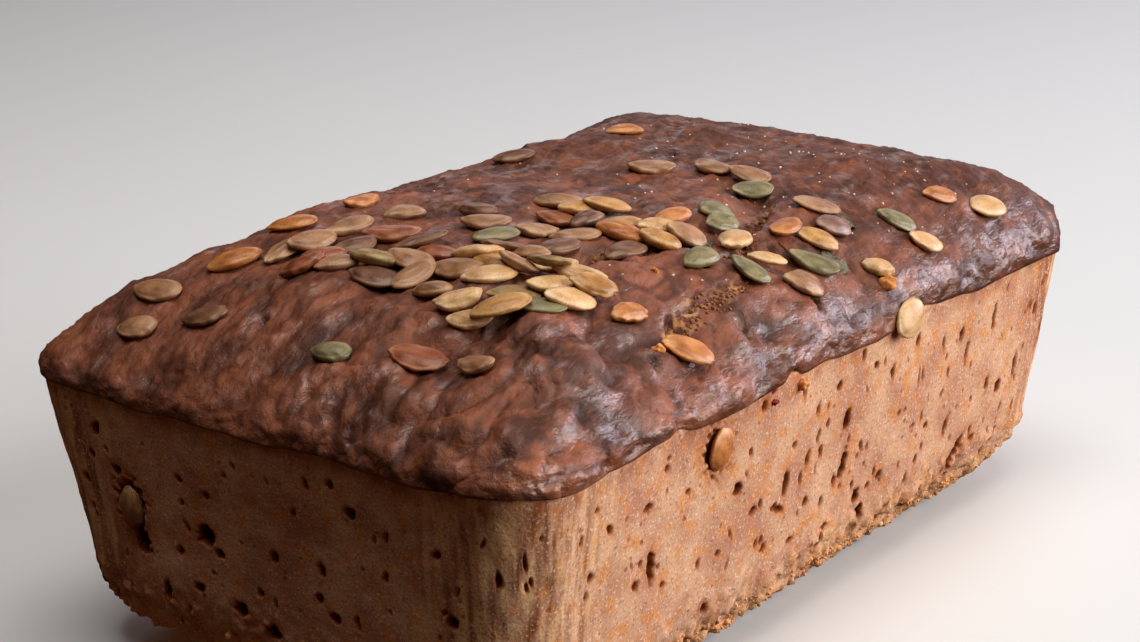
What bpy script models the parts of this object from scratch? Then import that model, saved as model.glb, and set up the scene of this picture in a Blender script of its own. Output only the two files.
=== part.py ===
"""Seeded brown tin loaf, one solid: the baked body with its domed crust and the kernels fused to it.

Metres, +Z up. The origin is the centre of the base, +X runs along the loaf.
"""

import math
import random
from dataclasses import dataclass

import bmesh
import bpy
from mathutils import Matrix, Vector, noise

MM = 0.001
TINY = 0.001 * MM

# The tin's shape, which the loaf keeps: sizes at the rim, where the crust starts, and below it.
# The upright corners have one radius at the -X end and a larger one at the +X end.
RIM_LENGTH = 218 * MM
RIM_WIDTH = 128 * MM
RIM_HEIGHT = 58 * MM
TAPER = 6 * MM
BASE_EDGE_RADIUS = 18 * MM
RIM_CORNER_RADII = (13 * MM, 20 * MM)
BASE_CORNER_RADII = (16 * MM, 22 * MM)

# The risen top: a flat middle with steep rounded shoulders
DOME_RISE = 25 * MM
DOME_POWER = 4.6
SECTION_POWER = 22

# The crust's edge: a rounded roll that hangs over the wall, thicker towards +X, on a wandering line
LIP_OUT = 1.0 * MM
LIP_DEPTH = 1.0 * MM
ROLL_AT_START = 4 * MM
ROLL_AT_END = 7 * MM
RIM_WANDER = 1.7 * MM
RIM_WANDER_SPAN = 28 * MM
RIM_WANDER_SHIFT = Vector((2.0, 6.5, 0.9))
LIP_START = 0.2
WANDER_POWER = 6

# Relief of the crust: swells, and knobs that grow towards one corner; it fades out at the rim
SWELL_SIZE = 2.4 * MM
SWELL_SPAN = 40 * MM
KNOB_SIZE = 1.7 * MM
KNOB_SPAN = 15 * MM
FADE_POWER = 12
NOISE_SHIFT = Vector((3.3, 7.7, 0.4))
KNOBBLY_CORNER = Vector((-96 * MM, -50 * MM))
KNOBBLY_REACH = 46 * MM
KNOBBLY_GAIN = 1.3

# Tears in the crust: each is a line of points on the plan, with its depth and half width
TORN_CRACK = ((-56, -28), (-36, -31), (-20, -37), (-3, -37), (21, -29))
FRONT_FOLD = ((-70, -50), (-52, -54), (-33, -56), (-24, -63))
SIDE_FOLD = ((-9, -50), (8, -52), (20, -62))
CRACK_DEPTH = 2.4 * MM
CRACK_HALF_WIDTH = 3.4 * MM
FOLD_DEPTH = 1.8 * MM
FOLD_HALF_WIDTH = 3.0 * MM

# Walls and base: slight bulges left by the dough
WALL_BULGE = 0.9 * MM
WALL_BULGE_SPAN = 34 * MM

# How finely the block is cut before it is shaped
CELLS_ALONG = 30
CELLS_ACROSS = 17
CORNER_CELLS = 3
CORNER_SHARE = 0.12
BASE_EDGE_STEPS = 4
WALL_STEPS = 3

# After the kernels are joined on, points closer than this are one point
JOIN_DISTANCE = 0.04 * MM

# A hulled pumpkin kernel: egg-shaped and flat, one end pointed
KERNEL_LENGTHS = (9.6 * MM, 12.4 * MM)
KERNEL_WIDTH_SHARE = 0.58
KERNEL_THICKNESS = 2.5 * MM
KERNEL_POINT = 0.2
KERNEL_SIDES = 7
KERNEL_SINK = 0.5 * MM
KERNEL_ROOT = 3.4 * MM
CROWN_SHARE = 0.62
ROOT_SHARE = 0.8
SUPPORT_SHARE = 0.82
STEEPEST_LEAN = 0.6

# Kernels that lie apart: place on the plan in mm, and heading in degrees from +X
LONE_KERNELS = (
    (-99, 40, 102), (-90, 43, 95), (-94, 26, 105), (-96, -9, 104), (-91, -26, 100), (-90, -39, 82),
    (-78, 33, 135), (-72, 25, 172), (-62, 32, 120), (-58, 20, 170), (-44, 17, 165), (-43, 30, 176),
    (-42, -3, 114), (-37, 3, 90), (-20, -5, 126), (-29, -11, 98), (13, 33, 130), (44, 24, 150),
    (18, -2, 135), (28, -12, 74), (27, -22, 100), (22, -26, 142), (21, -43, 150), (-55, -48, 170),
    (-50, -58, 145), (-7, -57, 152), (2, -54, 130), (10, -50, 144), (18, -49, 160), (20, -59, 148),
    (38, -53, 138), (40, -59, 156), (59, -52, 161), (71, -58, 168),
)


@dataclass(frozen=True)
class Heap:
    """A drift of kernels: its middle and half sizes on the plan, and how many lie in it."""

    middle: tuple[float, float]
    reach: tuple[float, float]
    count: int
    heading: float


HEAPS = (
    Heap(middle=(-65, -28), reach=(15, 16), count=18, heading=130),
    Heap(middle=(-68, 6), reach=(11, 17), count=12, heading=125),
    Heap(middle=(-36, -20), reach=(19, 13), count=11, heading=140),
    Heap(middle=(-13, -40), reach=(20, 12), count=11, heading=145),
)
HEAP_SPACING = 5.4 * MM
HEADING_SPREAD = 45
DRAW_SEED = 831

# Kernels baked into the upright faces: point on the loaf, outward normal, and lean in degrees
WALL_KERNELS = (
    ((-47, -63, 50), (0.0, -1.0, -0.1), 80),
    ((21, -64.6, 59), (0.0, -1.0, 0.25), 70),
    ((-106.2, 36, 35), (-1.0, 0.0, -0.1), 95),
)
WALL_KERNEL_LENGTH = 10 * MM

CRUST_COLOUR = (0.20, 0.068, 0.038, 1.0)
WALL_COLOUR = (0.56, 0.30, 0.17, 1.0)
KERNEL_COLOUR = (0.42, 0.30, 0.13, 1.0)


@dataclass
class Kernel:
    """One kernel: where it lies on the plan, which way it points and how it rests."""

    x: float
    y: float
    heading: float
    length: float
    height: float = 0.0
    lean_along: float = 0.0
    lean_across: float = 0.0

    def along(self) -> Vector:
        """Direction of the kernel's point on the plan."""
        return Vector((math.cos(self.heading), math.sin(self.heading)))

    def top_at(self, x: float, y: float) -> float:
        """Height of the kernel's upper face over a point of the plan, or minus infinity outside it."""
        offset = Vector((x - self.x, y - self.y))
        along = self.along()
        run = offset.dot(along)
        side = offset.dot(Vector((-along.y, along.x)))
        reach = (run / (self.length / 2)) ** 2 + (side / (self.length * KERNEL_WIDTH_SHARE / 2)) ** 2
        if reach >= 1.0:
            return -math.inf
        crown = KERNEL_THICKNESS / 2 * math.sqrt(1.0 - reach)
        return self.height + run * self.lean_along + side * self.lean_across + crown


def clear_scene() -> None:
    """Remove whatever the file holds, so that the loaf stands alone."""
    for item in list(bpy.data.objects):
        bpy.data.objects.remove(item, do_unlink=True)


def make_material(name: str, colour: tuple, roughness: float) -> bpy.types.Material:
    """A plain material with one colour and one roughness."""
    material = bpy.data.materials.new(name)
    material.use_nodes = True
    shader = material.node_tree.nodes["Principled BSDF"]
    shader.inputs["Base Color"].default_value = colour
    shader.inputs["Roughness"].default_value = roughness
    shader.inputs["Metallic"].default_value = 0.0
    material.diffuse_color = colour
    return material


def line_distance(x: float, y: float, line: tuple) -> float:
    """Shortest distance on the plan from a point to a line of points given in mm."""
    point = Vector((x, y))
    points = [Vector(step) * MM for step in line]
    nearest = math.inf
    for start, end in zip(points, points[1:]):
        run = end - start
        share = min(max((point - start).dot(run) / run.length_squared, 0.0), 1.0)
        nearest = min(nearest, (point - start - run * share).length)
    return nearest


def groove(x: float, y: float, line: tuple, depth: float, half_width: float) -> float:
    """Depth of a rounded groove along a line at a point of the plan."""
    share = line_distance(x, y, line) / half_width
    return depth * math.exp(-share * share)


def edge_roll(x: float) -> float:
    """Height of the rounded roll at the crust's edge, which grows along the loaf."""
    return ROLL_AT_START + (ROLL_AT_END - ROLL_AT_START) * (x / RIM_LENGTH + 0.5)


def crust_height(x: float, y: float) -> float:
    """Height of the crust over a point of the plan: dome, swells, knobs and tears."""
    along = min(abs(x) / (RIM_LENGTH / 2), 1.0)
    across = min(abs(y) / (RIM_WIDTH / 2), 1.0)
    outwards = min((along**SECTION_POWER + across**SECTION_POWER) ** (1 / SECTION_POWER), 1.0)
    roll = edge_roll(x)
    place = Vector((x, y, 0.0))
    relief = SWELL_SIZE * noise.noise(place / SWELL_SPAN + NOISE_SHIFT)
    nearness = math.exp(-(((place.xy - KNOBBLY_CORNER).length / KNOBBLY_REACH) ** 2))
    relief += KNOB_SIZE * (1.0 + KNOBBLY_GAIN * nearness) * noise.noise(place / KNOB_SPAN + NOISE_SHIFT)
    relief -= groove(x, y, TORN_CRACK, CRACK_DEPTH, CRACK_HALF_WIDTH)
    relief -= groove(x, y, FRONT_FOLD, FOLD_DEPTH, FOLD_HALF_WIDTH)
    relief -= groove(x, y, SIDE_FOLD, FOLD_DEPTH, FOLD_HALF_WIDTH)
    rise = (DOME_RISE - roll) * (1.0 - outwards**DOME_POWER)
    return RIM_HEIGHT + roll + rise + relief * (1.0 - outwards**FADE_POWER)


def corner_radius(u: float, share: float) -> float:
    """Radius of the upright corner at one end of the loaf, at a share of the rim's height."""
    end = 0 if u < 0 else 1
    return BASE_CORNER_RADII[end] + (RIM_CORNER_RADII[end] - BASE_CORNER_RADII[end]) * share


def wall_inset(height: float) -> float:
    """How far the wall stands in from the rim's outline at a height."""
    inset = TAPER * (1.0 - height / RIM_HEIGHT)
    if height < BASE_EDGE_RADIUS:
        drop = BASE_EDGE_RADIUS - height
        inset += BASE_EDGE_RADIUS - math.sqrt(BASE_EDGE_RADIUS**2 - drop**2)
    return inset


def onto_section(u: float, v: float, half_length: float, half_width: float, radius: float) -> Vector:
    """Carry a point of the unit square onto a rectangle with rounded corners."""
    straight = 1.0 - CORNER_SHARE

    def spread(share: float, half: float) -> float:
        size = abs(share)
        if size <= straight:
            return math.copysign(size / straight * (half - radius), share)
        return math.copysign(half - radius + (size - straight) / CORNER_SHARE * radius, share)

    x = spread(u, half_length)
    y = spread(v, half_width)
    over_x = abs(x) - (half_length - radius)
    over_y = abs(y) - (half_width - radius)
    if over_x > 0.0 and over_y > 0.0:
        pull = max(over_x, over_y) / math.hypot(over_x, over_y)
        x = math.copysign(half_length - radius + over_x * pull, x)
        y = math.copysign(half_width - radius + over_y * pull, y)
    return Vector((x, y))


def wall_levels() -> list[float]:
    """Heights of the rings round the wall, close together where the base edge turns and at the lip."""
    turns = [math.radians(90) * step / BASE_EDGE_STEPS for step in range(1, BASE_EDGE_STEPS + 1)]
    levels = [BASE_EDGE_RADIUS * (1.0 - math.cos(turn)) for turn in turns]
    under_lip = RIM_HEIGHT - LIP_DEPTH
    rise = (under_lip - BASE_EDGE_RADIUS) / WALL_STEPS
    levels += [BASE_EDGE_RADIUS + rise * step for step in range(1, WALL_STEPS + 1)]
    return levels + [RIM_HEIGHT, RIM_HEIGHT + ROLL_AT_START / 2]


def cut_stations(cells: int) -> list[float]:
    """Places of the cuts across the unit square: even cells, then finer ones in the corners."""
    straight = 1.0 - CORNER_SHARE
    middle = [-straight + 2 * straight * step / cells for step in range(cells + 1)]
    corner = [straight + CORNER_SHARE * step / CORNER_CELLS for step in range(1, CORNER_CELLS)]
    return [-place for place in corner] + middle + corner


def cut_block(mesh: bmesh.types.BMesh) -> None:
    """Make the block, two by two on the plan and up to the roll's top, and cut it into cells."""
    tall = RIM_HEIGHT + ROLL_AT_START
    up = Matrix.Translation((0, 0, tall / 2)) @ Matrix.Diagonal((2, 2, tall, 1))
    bmesh.ops.create_cube(mesh, size=1, matrix=up)
    cuts = [((place, 0, 0), (1, 0, 0)) for place in cut_stations(CELLS_ALONG)]
    cuts += [((0, place, 0), (0, 1, 0)) for place in cut_stations(CELLS_ACROSS)]
    cuts += [((0, 0, level), (0, 0, 1)) for level in wall_levels()]
    for point, normal in cuts:
        everything = mesh.verts[:] + mesh.edges[:] + mesh.faces[:]
        bmesh.ops.bisect_plane(mesh, geom=everything, plane_co=point, plane_no=normal, dist=TINY)


def wall_place(u: float, v: float, level: float) -> Vector:
    """Place on the loaf of a point of the block's upright sides."""
    share = min(level / RIM_HEIGHT, 1.0)
    radius = corner_radius(u, share)
    up_roll = (level - RIM_HEIGHT) / ROLL_AT_START
    inset = wall_inset(min(level, RIM_HEIGHT))
    if up_roll > -TINY:
        inset -= LIP_OUT * math.sin(math.pi * (LIP_START + (1.0 - LIP_START) * up_roll))
    place = onto_section(u, v, RIM_LENGTH / 2 - inset, RIM_WIDTH / 2 - inset, radius)
    bulge = WALL_BULGE * noise.noise(Vector((place.x, place.y, level)) / WALL_BULGE_SPAN + NOISE_SHIFT)
    place *= 1.0 + bulge / (RIM_WIDTH / 2)
    wander = RIM_WANDER * noise.noise(place.to_3d() / RIM_WANDER_SPAN + RIM_WANDER_SHIFT)
    height = min(level, RIM_HEIGHT) + wander * share**WANDER_POWER + edge_roll(place.x) * max(up_roll, 0.0)
    return Vector((place.x, place.y, height))


def shape_body(mesh: bmesh.types.BMesh) -> None:
    """Move each corner of the cut block to its place on the loaf."""
    for vert in mesh.verts:
        u, v, level = vert.co
        if max(abs(u), abs(v)) > 1.0 - TINY and level > TINY:
            vert.co = wall_place(u, v, level)
            continue
        inset = wall_inset(min(level, RIM_HEIGHT))
        radius = corner_radius(u, min(level / RIM_HEIGHT, 1.0))
        place = onto_section(u, v, RIM_LENGTH / 2 - inset, RIM_WIDTH / 2 - inset, radius)
        height = crust_height(place.x, place.y) if level > TINY else 0.0
        vert.co = (place.x, place.y, height)


def flatten_base(mesh: bmesh.types.BMesh) -> None:
    """Join the cells of the base into one flat face."""
    base = [face for face in mesh.faces if all(vert.co.z < TINY for vert in face.verts)]
    bmesh.ops.dissolve_faces(mesh, faces=base, use_verts=True)


def make_body(crust: bpy.types.Material, wall: bpy.types.Material) -> bpy.types.Object:
    """The loaf without its kernels."""
    mesh = bmesh.new()
    cut_block(mesh)
    top = {face for face in mesh.faces if face.normal.z > 0.9}
    for face in mesh.faces:
        face.material_index = 0 if face in top else 1
    shape_body(mesh)
    flatten_base(mesh)
    bmesh.ops.recalc_face_normals(mesh, faces=mesh.faces[:])
    data = bpy.data.meshes.new("loaf")
    mesh.to_mesh(data)
    mesh.free()
    data.materials.append(crust)
    data.materials.append(wall)
    body = bpy.data.objects.new("loaf", data)
    bpy.context.scene.collection.objects.link(body)
    return body


def draw_kernels() -> list[Kernel]:
    """The kernels on the crust: those that lie apart, then the heaps, drawn by one seeded rule."""
    draw = random.Random(DRAW_SEED)
    kernels = []
    for x, y, heading in LONE_KERNELS:
        length = draw.uniform(*KERNEL_LENGTHS)
        kernels.append(Kernel(x * MM, y * MM, math.radians(heading), length))
    for heap in HEAPS:
        laid = 0
        while laid < heap.count:
            turn = draw.uniform(0.0, math.tau)
            out = math.sqrt(draw.random())
            x = (heap.middle[0] + heap.reach[0] * out * math.cos(turn)) * MM
            y = (heap.middle[1] + heap.reach[1] * out * math.sin(turn)) * MM
            heading = math.radians(heap.heading + draw.uniform(-HEADING_SPREAD, HEADING_SPREAD))
            length = draw.uniform(*KERNEL_LENGTHS)
            if all(math.hypot(x - other.x, y - other.y) > HEAP_SPACING for other in kernels):
                kernels.append(Kernel(x, y, heading, length))
                laid += 1
    return kernels


def settle(kernels: list[Kernel]) -> None:
    """Rest each kernel on the crust and on the kernels laid before it."""
    for index, kernel in enumerate(kernels):

        def support(run: float, side: float) -> float:
            along = kernel.along()
            x = kernel.x + run * along.x - side * along.y
            y = kernel.y + run * along.y + side * along.x
            tops = [other.top_at(x, y) for other in kernels[:index]]
            return max([crust_height(x, y)] + tops)

        half_length = kernel.length / 2 * SUPPORT_SHARE
        half_width = half_length * KERNEL_WIDTH_SHARE
        point, tail = support(half_length, 0.0), support(-half_length, 0.0)
        left, right = support(0.0, half_width), support(0.0, -half_width)
        along = (point - tail) / (2 * half_length)
        across = (left - right) / (2 * half_width)
        kernel.lean_along = min(max(along, -STEEPEST_LEAN), STEEPEST_LEAN)
        kernel.lean_across = min(max(across, -STEEPEST_LEAN), STEEPEST_LEAN)
        rest = max((point + tail) / 2, (left + right) / 2, support(0.0, 0.0))
        kernel.height = rest - KERNEL_SINK + KERNEL_THICKNESS / 2


def make_kernel(length: float, root: float) -> bmesh.types.BMesh:
    """One kernel lying on the plan with its point at +X, and a root that goes down into the loaf.

    Three rings of one egg-shaped outline: the narrow crown, the full waist and the root.
    """
    mesh = bmesh.new()
    bmesh.ops.create_cone(
        mesh, cap_ends=True, segments=KERNEL_SIDES, radius1=ROOT_SHARE, radius2=CROWN_SHARE, depth=2
    )
    skin = mesh.verts[:] + mesh.edges[:] + mesh.faces[:]
    waist = bmesh.ops.bisect_plane(mesh, geom=skin, plane_co=(0, 0, 0), plane_no=(0, 0, 1))["geom_cut"]
    waist_verts = [item for item in waist if isinstance(item, bmesh.types.BMVert)]
    widen = 2 / (ROOT_SHARE + CROWN_SHARE)
    bmesh.ops.scale(mesh, vec=(widen, widen, 1), verts=waist_verts)
    for vert in mesh.verts:
        narrowing = 1.0 - KERNEL_POINT * vert.co.x
        vert.co.x *= length / 2
        vert.co.y *= length * KERNEL_WIDTH_SHARE / 2 * narrowing
        vert.co.z *= KERNEL_THICKNESS / 2 if vert.co.z > 0 else root
    return mesh


def add_kernel(
    name: str, length: float, root: float, place: Matrix, material: bpy.types.Material
) -> bpy.types.Object:
    """Make one kernel's object at its place."""
    mesh = make_kernel(length, root)
    mesh.transform(place)
    data = bpy.data.meshes.new(name)
    mesh.to_mesh(data)
    mesh.free()
    data.materials.append(material)
    return bpy.data.objects.new(name, data)


def frame_matrix(point: Vector, along: Vector, normal: Vector) -> Matrix:
    """Matrix that carries a lying kernel to a point, with its point along and its crown outward."""
    normal = normal.normalized()
    side = normal.cross(along).normalized()
    ahead = side.cross(normal)
    turn = Matrix((ahead, side, normal)).transposed()
    return Matrix.Translation(point) @ turn.to_4x4()


def kernel_objects(material: bpy.types.Material) -> list[bpy.types.Object]:
    """All kernels, those on the crust and those baked into the upright faces."""
    kernels = draw_kernels()
    settle(kernels)
    made = []
    for index, kernel in enumerate(kernels):
        along = kernel.along()
        ahead = Vector((along.x, along.y, kernel.lean_along))
        side = Vector((-along.y, along.x, kernel.lean_across))
        point = Vector((kernel.x, kernel.y, kernel.height))
        depth = kernel.height - crust_height(kernel.x, kernel.y)
        place = frame_matrix(point, ahead, ahead.cross(side))
        made.append(add_kernel(f"kernel_{index}", kernel.length, KERNEL_ROOT + depth, place, material))
    for index, (spot, normal, lean) in enumerate(WALL_KERNELS):
        outward = Vector(normal)
        level = Vector((0, 0, 1)).cross(outward).normalized()
        along = Matrix.Rotation(math.radians(lean), 3, outward) @ level
        place = frame_matrix(Vector(spot) * MM, along, outward)
        made.append(add_kernel(f"wall_kernel_{index}", WALL_KERNEL_LENGTH, KERNEL_ROOT, place, material))
    return made


def fuse(body: bpy.types.Object, pieces: list[bpy.types.Object]) -> None:
    """Join the pieces to the body with one Boolean union, and remove them."""
    group = bpy.data.collections.new("kernels")
    bpy.context.scene.collection.children.link(group)
    for piece in pieces:
        group.objects.link(piece)
    union = body.modifiers.new("kernels", "BOOLEAN")
    union.operation = "UNION"
    union.operand_type = "COLLECTION"
    union.collection = group
    union.solver = "EXACT"
    union.material_mode = "TRANSFER"
    bpy.context.view_layer.objects.active = body
    bpy.ops.object.modifier_apply(modifier=union.name)
    for piece in pieces:
        bpy.data.objects.remove(piece, do_unlink=True)
    bpy.data.collections.remove(group)


def shell_of(start: bmesh.types.BMFace) -> set:
    """All faces joined to one face through shared edges."""
    found = {start}
    waiting = [start]
    while waiting:
        face = waiting.pop()
        for edge in face.edges:
            for neighbour in edge.link_faces:
                if neighbour not in found:
                    found.add(neighbour)
                    waiting.append(neighbour)
    return found


def keep_main_shell(body: bpy.types.Object) -> None:
    """Close up slivers, then drop loose scraps and the skins of sealed hollows, which fills them."""
    mesh = bmesh.new()
    mesh.from_mesh(body.data)
    bmesh.ops.remove_doubles(mesh, verts=mesh.verts[:], dist=JOIN_DISTANCE)
    bmesh.ops.dissolve_degenerate(mesh, edges=mesh.edges[:], dist=JOIN_DISTANCE)
    bmesh.ops.triangulate(mesh, faces=mesh.faces[:])
    shells = []
    left = set(mesh.faces)
    while left:
        shell = shell_of(next(iter(left)))
        shells.append(shell)
        left -= shell
    main = max(shells, key=len)
    scraps = [face for shell in shells if shell is not main for face in shell]
    bmesh.ops.delete(mesh, geom=scraps, context="FACES")
    mesh.to_mesh(body.data)
    mesh.free()


def main() -> None:
    """Build the loaf."""
    clear_scene()
    crust = make_material("glazed_crust", CRUST_COLOUR, 0.35)
    wall = make_material("baked_wall", WALL_COLOUR, 0.85)
    kernel = make_material("pumpkin_kernel", KERNEL_COLOUR, 0.45)
    body = make_body(crust, wall)
    fuse(body, kernel_objects(kernel))
    keep_main_shell(body)
    body.data.set_sharp_from_angle(angle=math.radians(35))


main()
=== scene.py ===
"""Seeded brown tin loaf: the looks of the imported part, on a pale floor in soft light.

Metres, +Z up, in the part's own frame: the origin is the centre of the base and +X runs along the loaf.
"""

import logging
import math
import random
from dataclasses import dataclass, field, replace
from enum import Enum

import bmesh
import bpy
from mathutils import Matrix, Vector, noise
from mathutils.bvhtree import BVHTree


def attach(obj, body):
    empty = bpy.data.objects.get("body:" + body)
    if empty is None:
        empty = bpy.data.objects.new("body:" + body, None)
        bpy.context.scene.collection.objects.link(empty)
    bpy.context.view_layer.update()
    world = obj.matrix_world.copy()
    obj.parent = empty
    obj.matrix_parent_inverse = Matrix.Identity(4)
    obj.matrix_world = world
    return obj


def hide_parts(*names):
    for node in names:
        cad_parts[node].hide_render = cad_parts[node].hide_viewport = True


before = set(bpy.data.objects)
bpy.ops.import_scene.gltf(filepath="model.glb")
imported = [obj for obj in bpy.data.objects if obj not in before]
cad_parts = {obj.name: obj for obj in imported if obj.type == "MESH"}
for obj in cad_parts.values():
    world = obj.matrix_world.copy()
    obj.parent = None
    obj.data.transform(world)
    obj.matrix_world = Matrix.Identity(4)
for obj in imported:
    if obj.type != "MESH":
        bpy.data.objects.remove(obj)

LOG = logging.getLogger("loaf")
MM = 0.001
NODE = "loaf"
BODY = "root"
# Sockets of the mix node, by number because its sockets for numbers and colours share their names
MIX_SHARE, MIX_BELOW, MIX_ABOVE = 0, 6, 7
MIX_COLOUR = 2
CRUMB_SEED = 5
NOISE_SEED = 1


class Slot(Enum):
    """The record's material slots."""

    WALL = "baked_wall"
    CRUST = "glazed_crust"
    KERNEL = "pumpkin_kernel"


class Tone(Enum):
    """Colours that the kernels took in the oven: main, shadow and light, as sRGB hex; the shadow colour marks
    scorching, and the light colour, laid on rims and tips, is partly a painted highlight.
    """

    GREEN = ("7e7652", "554e33", "a89c72")
    OLIVE = ("9c8050", "6c522c", "c4aa78")
    GOLD = ("bc8a4c", "8e5a2a", "dcb478")
    CREAM = ("d6ac78", "a87a48", "ecd0a6")
    TAN = ("a67a58", "704a2e", "caa47c")
    ORANGE = ("c27c40", "8c4a1c", "e6a868")
    BROWN = ("764e38", "4a2c1e", "a07a5a")
    RED = ("9a5636", "683019", "c08660")
    VIOLET = ("866054", "5e3d31", "ac8c7c")


def linear(colour: str) -> tuple[float, float, float, float]:
    """Turn an sRGB hex colour to linear.

    Args:
        colour: Six hex digits.

    Returns:
        Red, green, blue and an alpha of one.
    """
    channels = []
    for start in (0, 2, 4):
        part = int(colour[start : start + 2], 16) / 255
        channels.append(part / 12.92 if part <= 0.04045 else ((part + 0.055) / 1.055) ** 2.4)
    return (*channels, 1.0)


def add_node(
    tree: bpy.types.NodeTree, kind: str, inputs: dict | None = None, **settings: object
) -> bpy.types.Node:
    """Add a node with its settings, values and links.

    Args:
        tree: The material's node tree.
        kind: The node's type name.
        inputs: Value or output socket for each input, by name or number.
        **settings: The node's own properties.

    Returns:
        The new node.
    """
    node = tree.nodes.new(kind)
    for name, value in settings.items():
        setattr(node, name, value)
    for key, value in (inputs or {}).items():
        if isinstance(value, bpy.types.NodeSocket):
            tree.links.new(value, node.inputs[key])
        else:
            node.inputs[key].default_value = value
    return node


def smooth_share(value: float, start: float, end: float) -> float:
    """Share from 0 to 1 of the way from start to end, eased at both ends."""
    share = min(max((value - start) / (end - start), 0.0), 1.0)
    return share * share * (3.0 - 2.0 * share)


@dataclass(frozen=True)
class Tear:
    """A groove in the crust along points of the plan, given in mm."""

    points: tuple[tuple[float, float], ...]
    depth: float
    half_width: float

    def distance(self, x: float, y: float) -> float:
        """Find the shortest distance on the plan from a point to the tear's line.

        Args:
            x: Place along the loaf.
            y: Place across the loaf.

        Returns:
            The distance.
        """
        point = Vector((x, y))
        places = [Vector(step) * MM for step in self.points]
        nearest = math.inf
        for start, end in zip(places, places[1:]):
            run = end - start
            share = min(max((point - start).dot(run) / run.length_squared, 0.0), 1.0)
            nearest = min(nearest, (point - start - run * share).length)
        return nearest

    def depth_at(self, x: float, y: float) -> float:
        """Depth of the rounded groove at a point of the plan."""
        share = self.distance(x, y) / self.half_width
        return self.depth * math.exp(-share * share)


TORN_CRACK = Tear(((-56, -28), (-36, -31), (-20, -37), (-3, -37), (21, -29)), 2.4 * MM, 3.4 * MM)
# Where the crust split open and the crumb shows
TORN_CRUMB = (
    Tear(((-56, -28), (-36, -31), (-20, -37)), 0.6 * MM, 1.8 * MM),
    Tear(((-17, -27), (-18, -43), (-12, -46), (4, -38), (17, -34)), 2.3 * MM, 1.7 * MM),
    Tear(((-20, -52), (-30, -53), (-36, -52), (-43, -53), (-49, -53)), 1.3 * MM, 1.7 * MM),
)
FRONT_FOLD = Tear(((-70, -50), (-52, -54), (-33, -56), (-24, -63)), 1.8 * MM, 3.0 * MM)
SIDE_FOLD = Tear(((-9, -50), (8, -52), (20, -62)), 1.8 * MM, 3.0 * MM)


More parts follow.
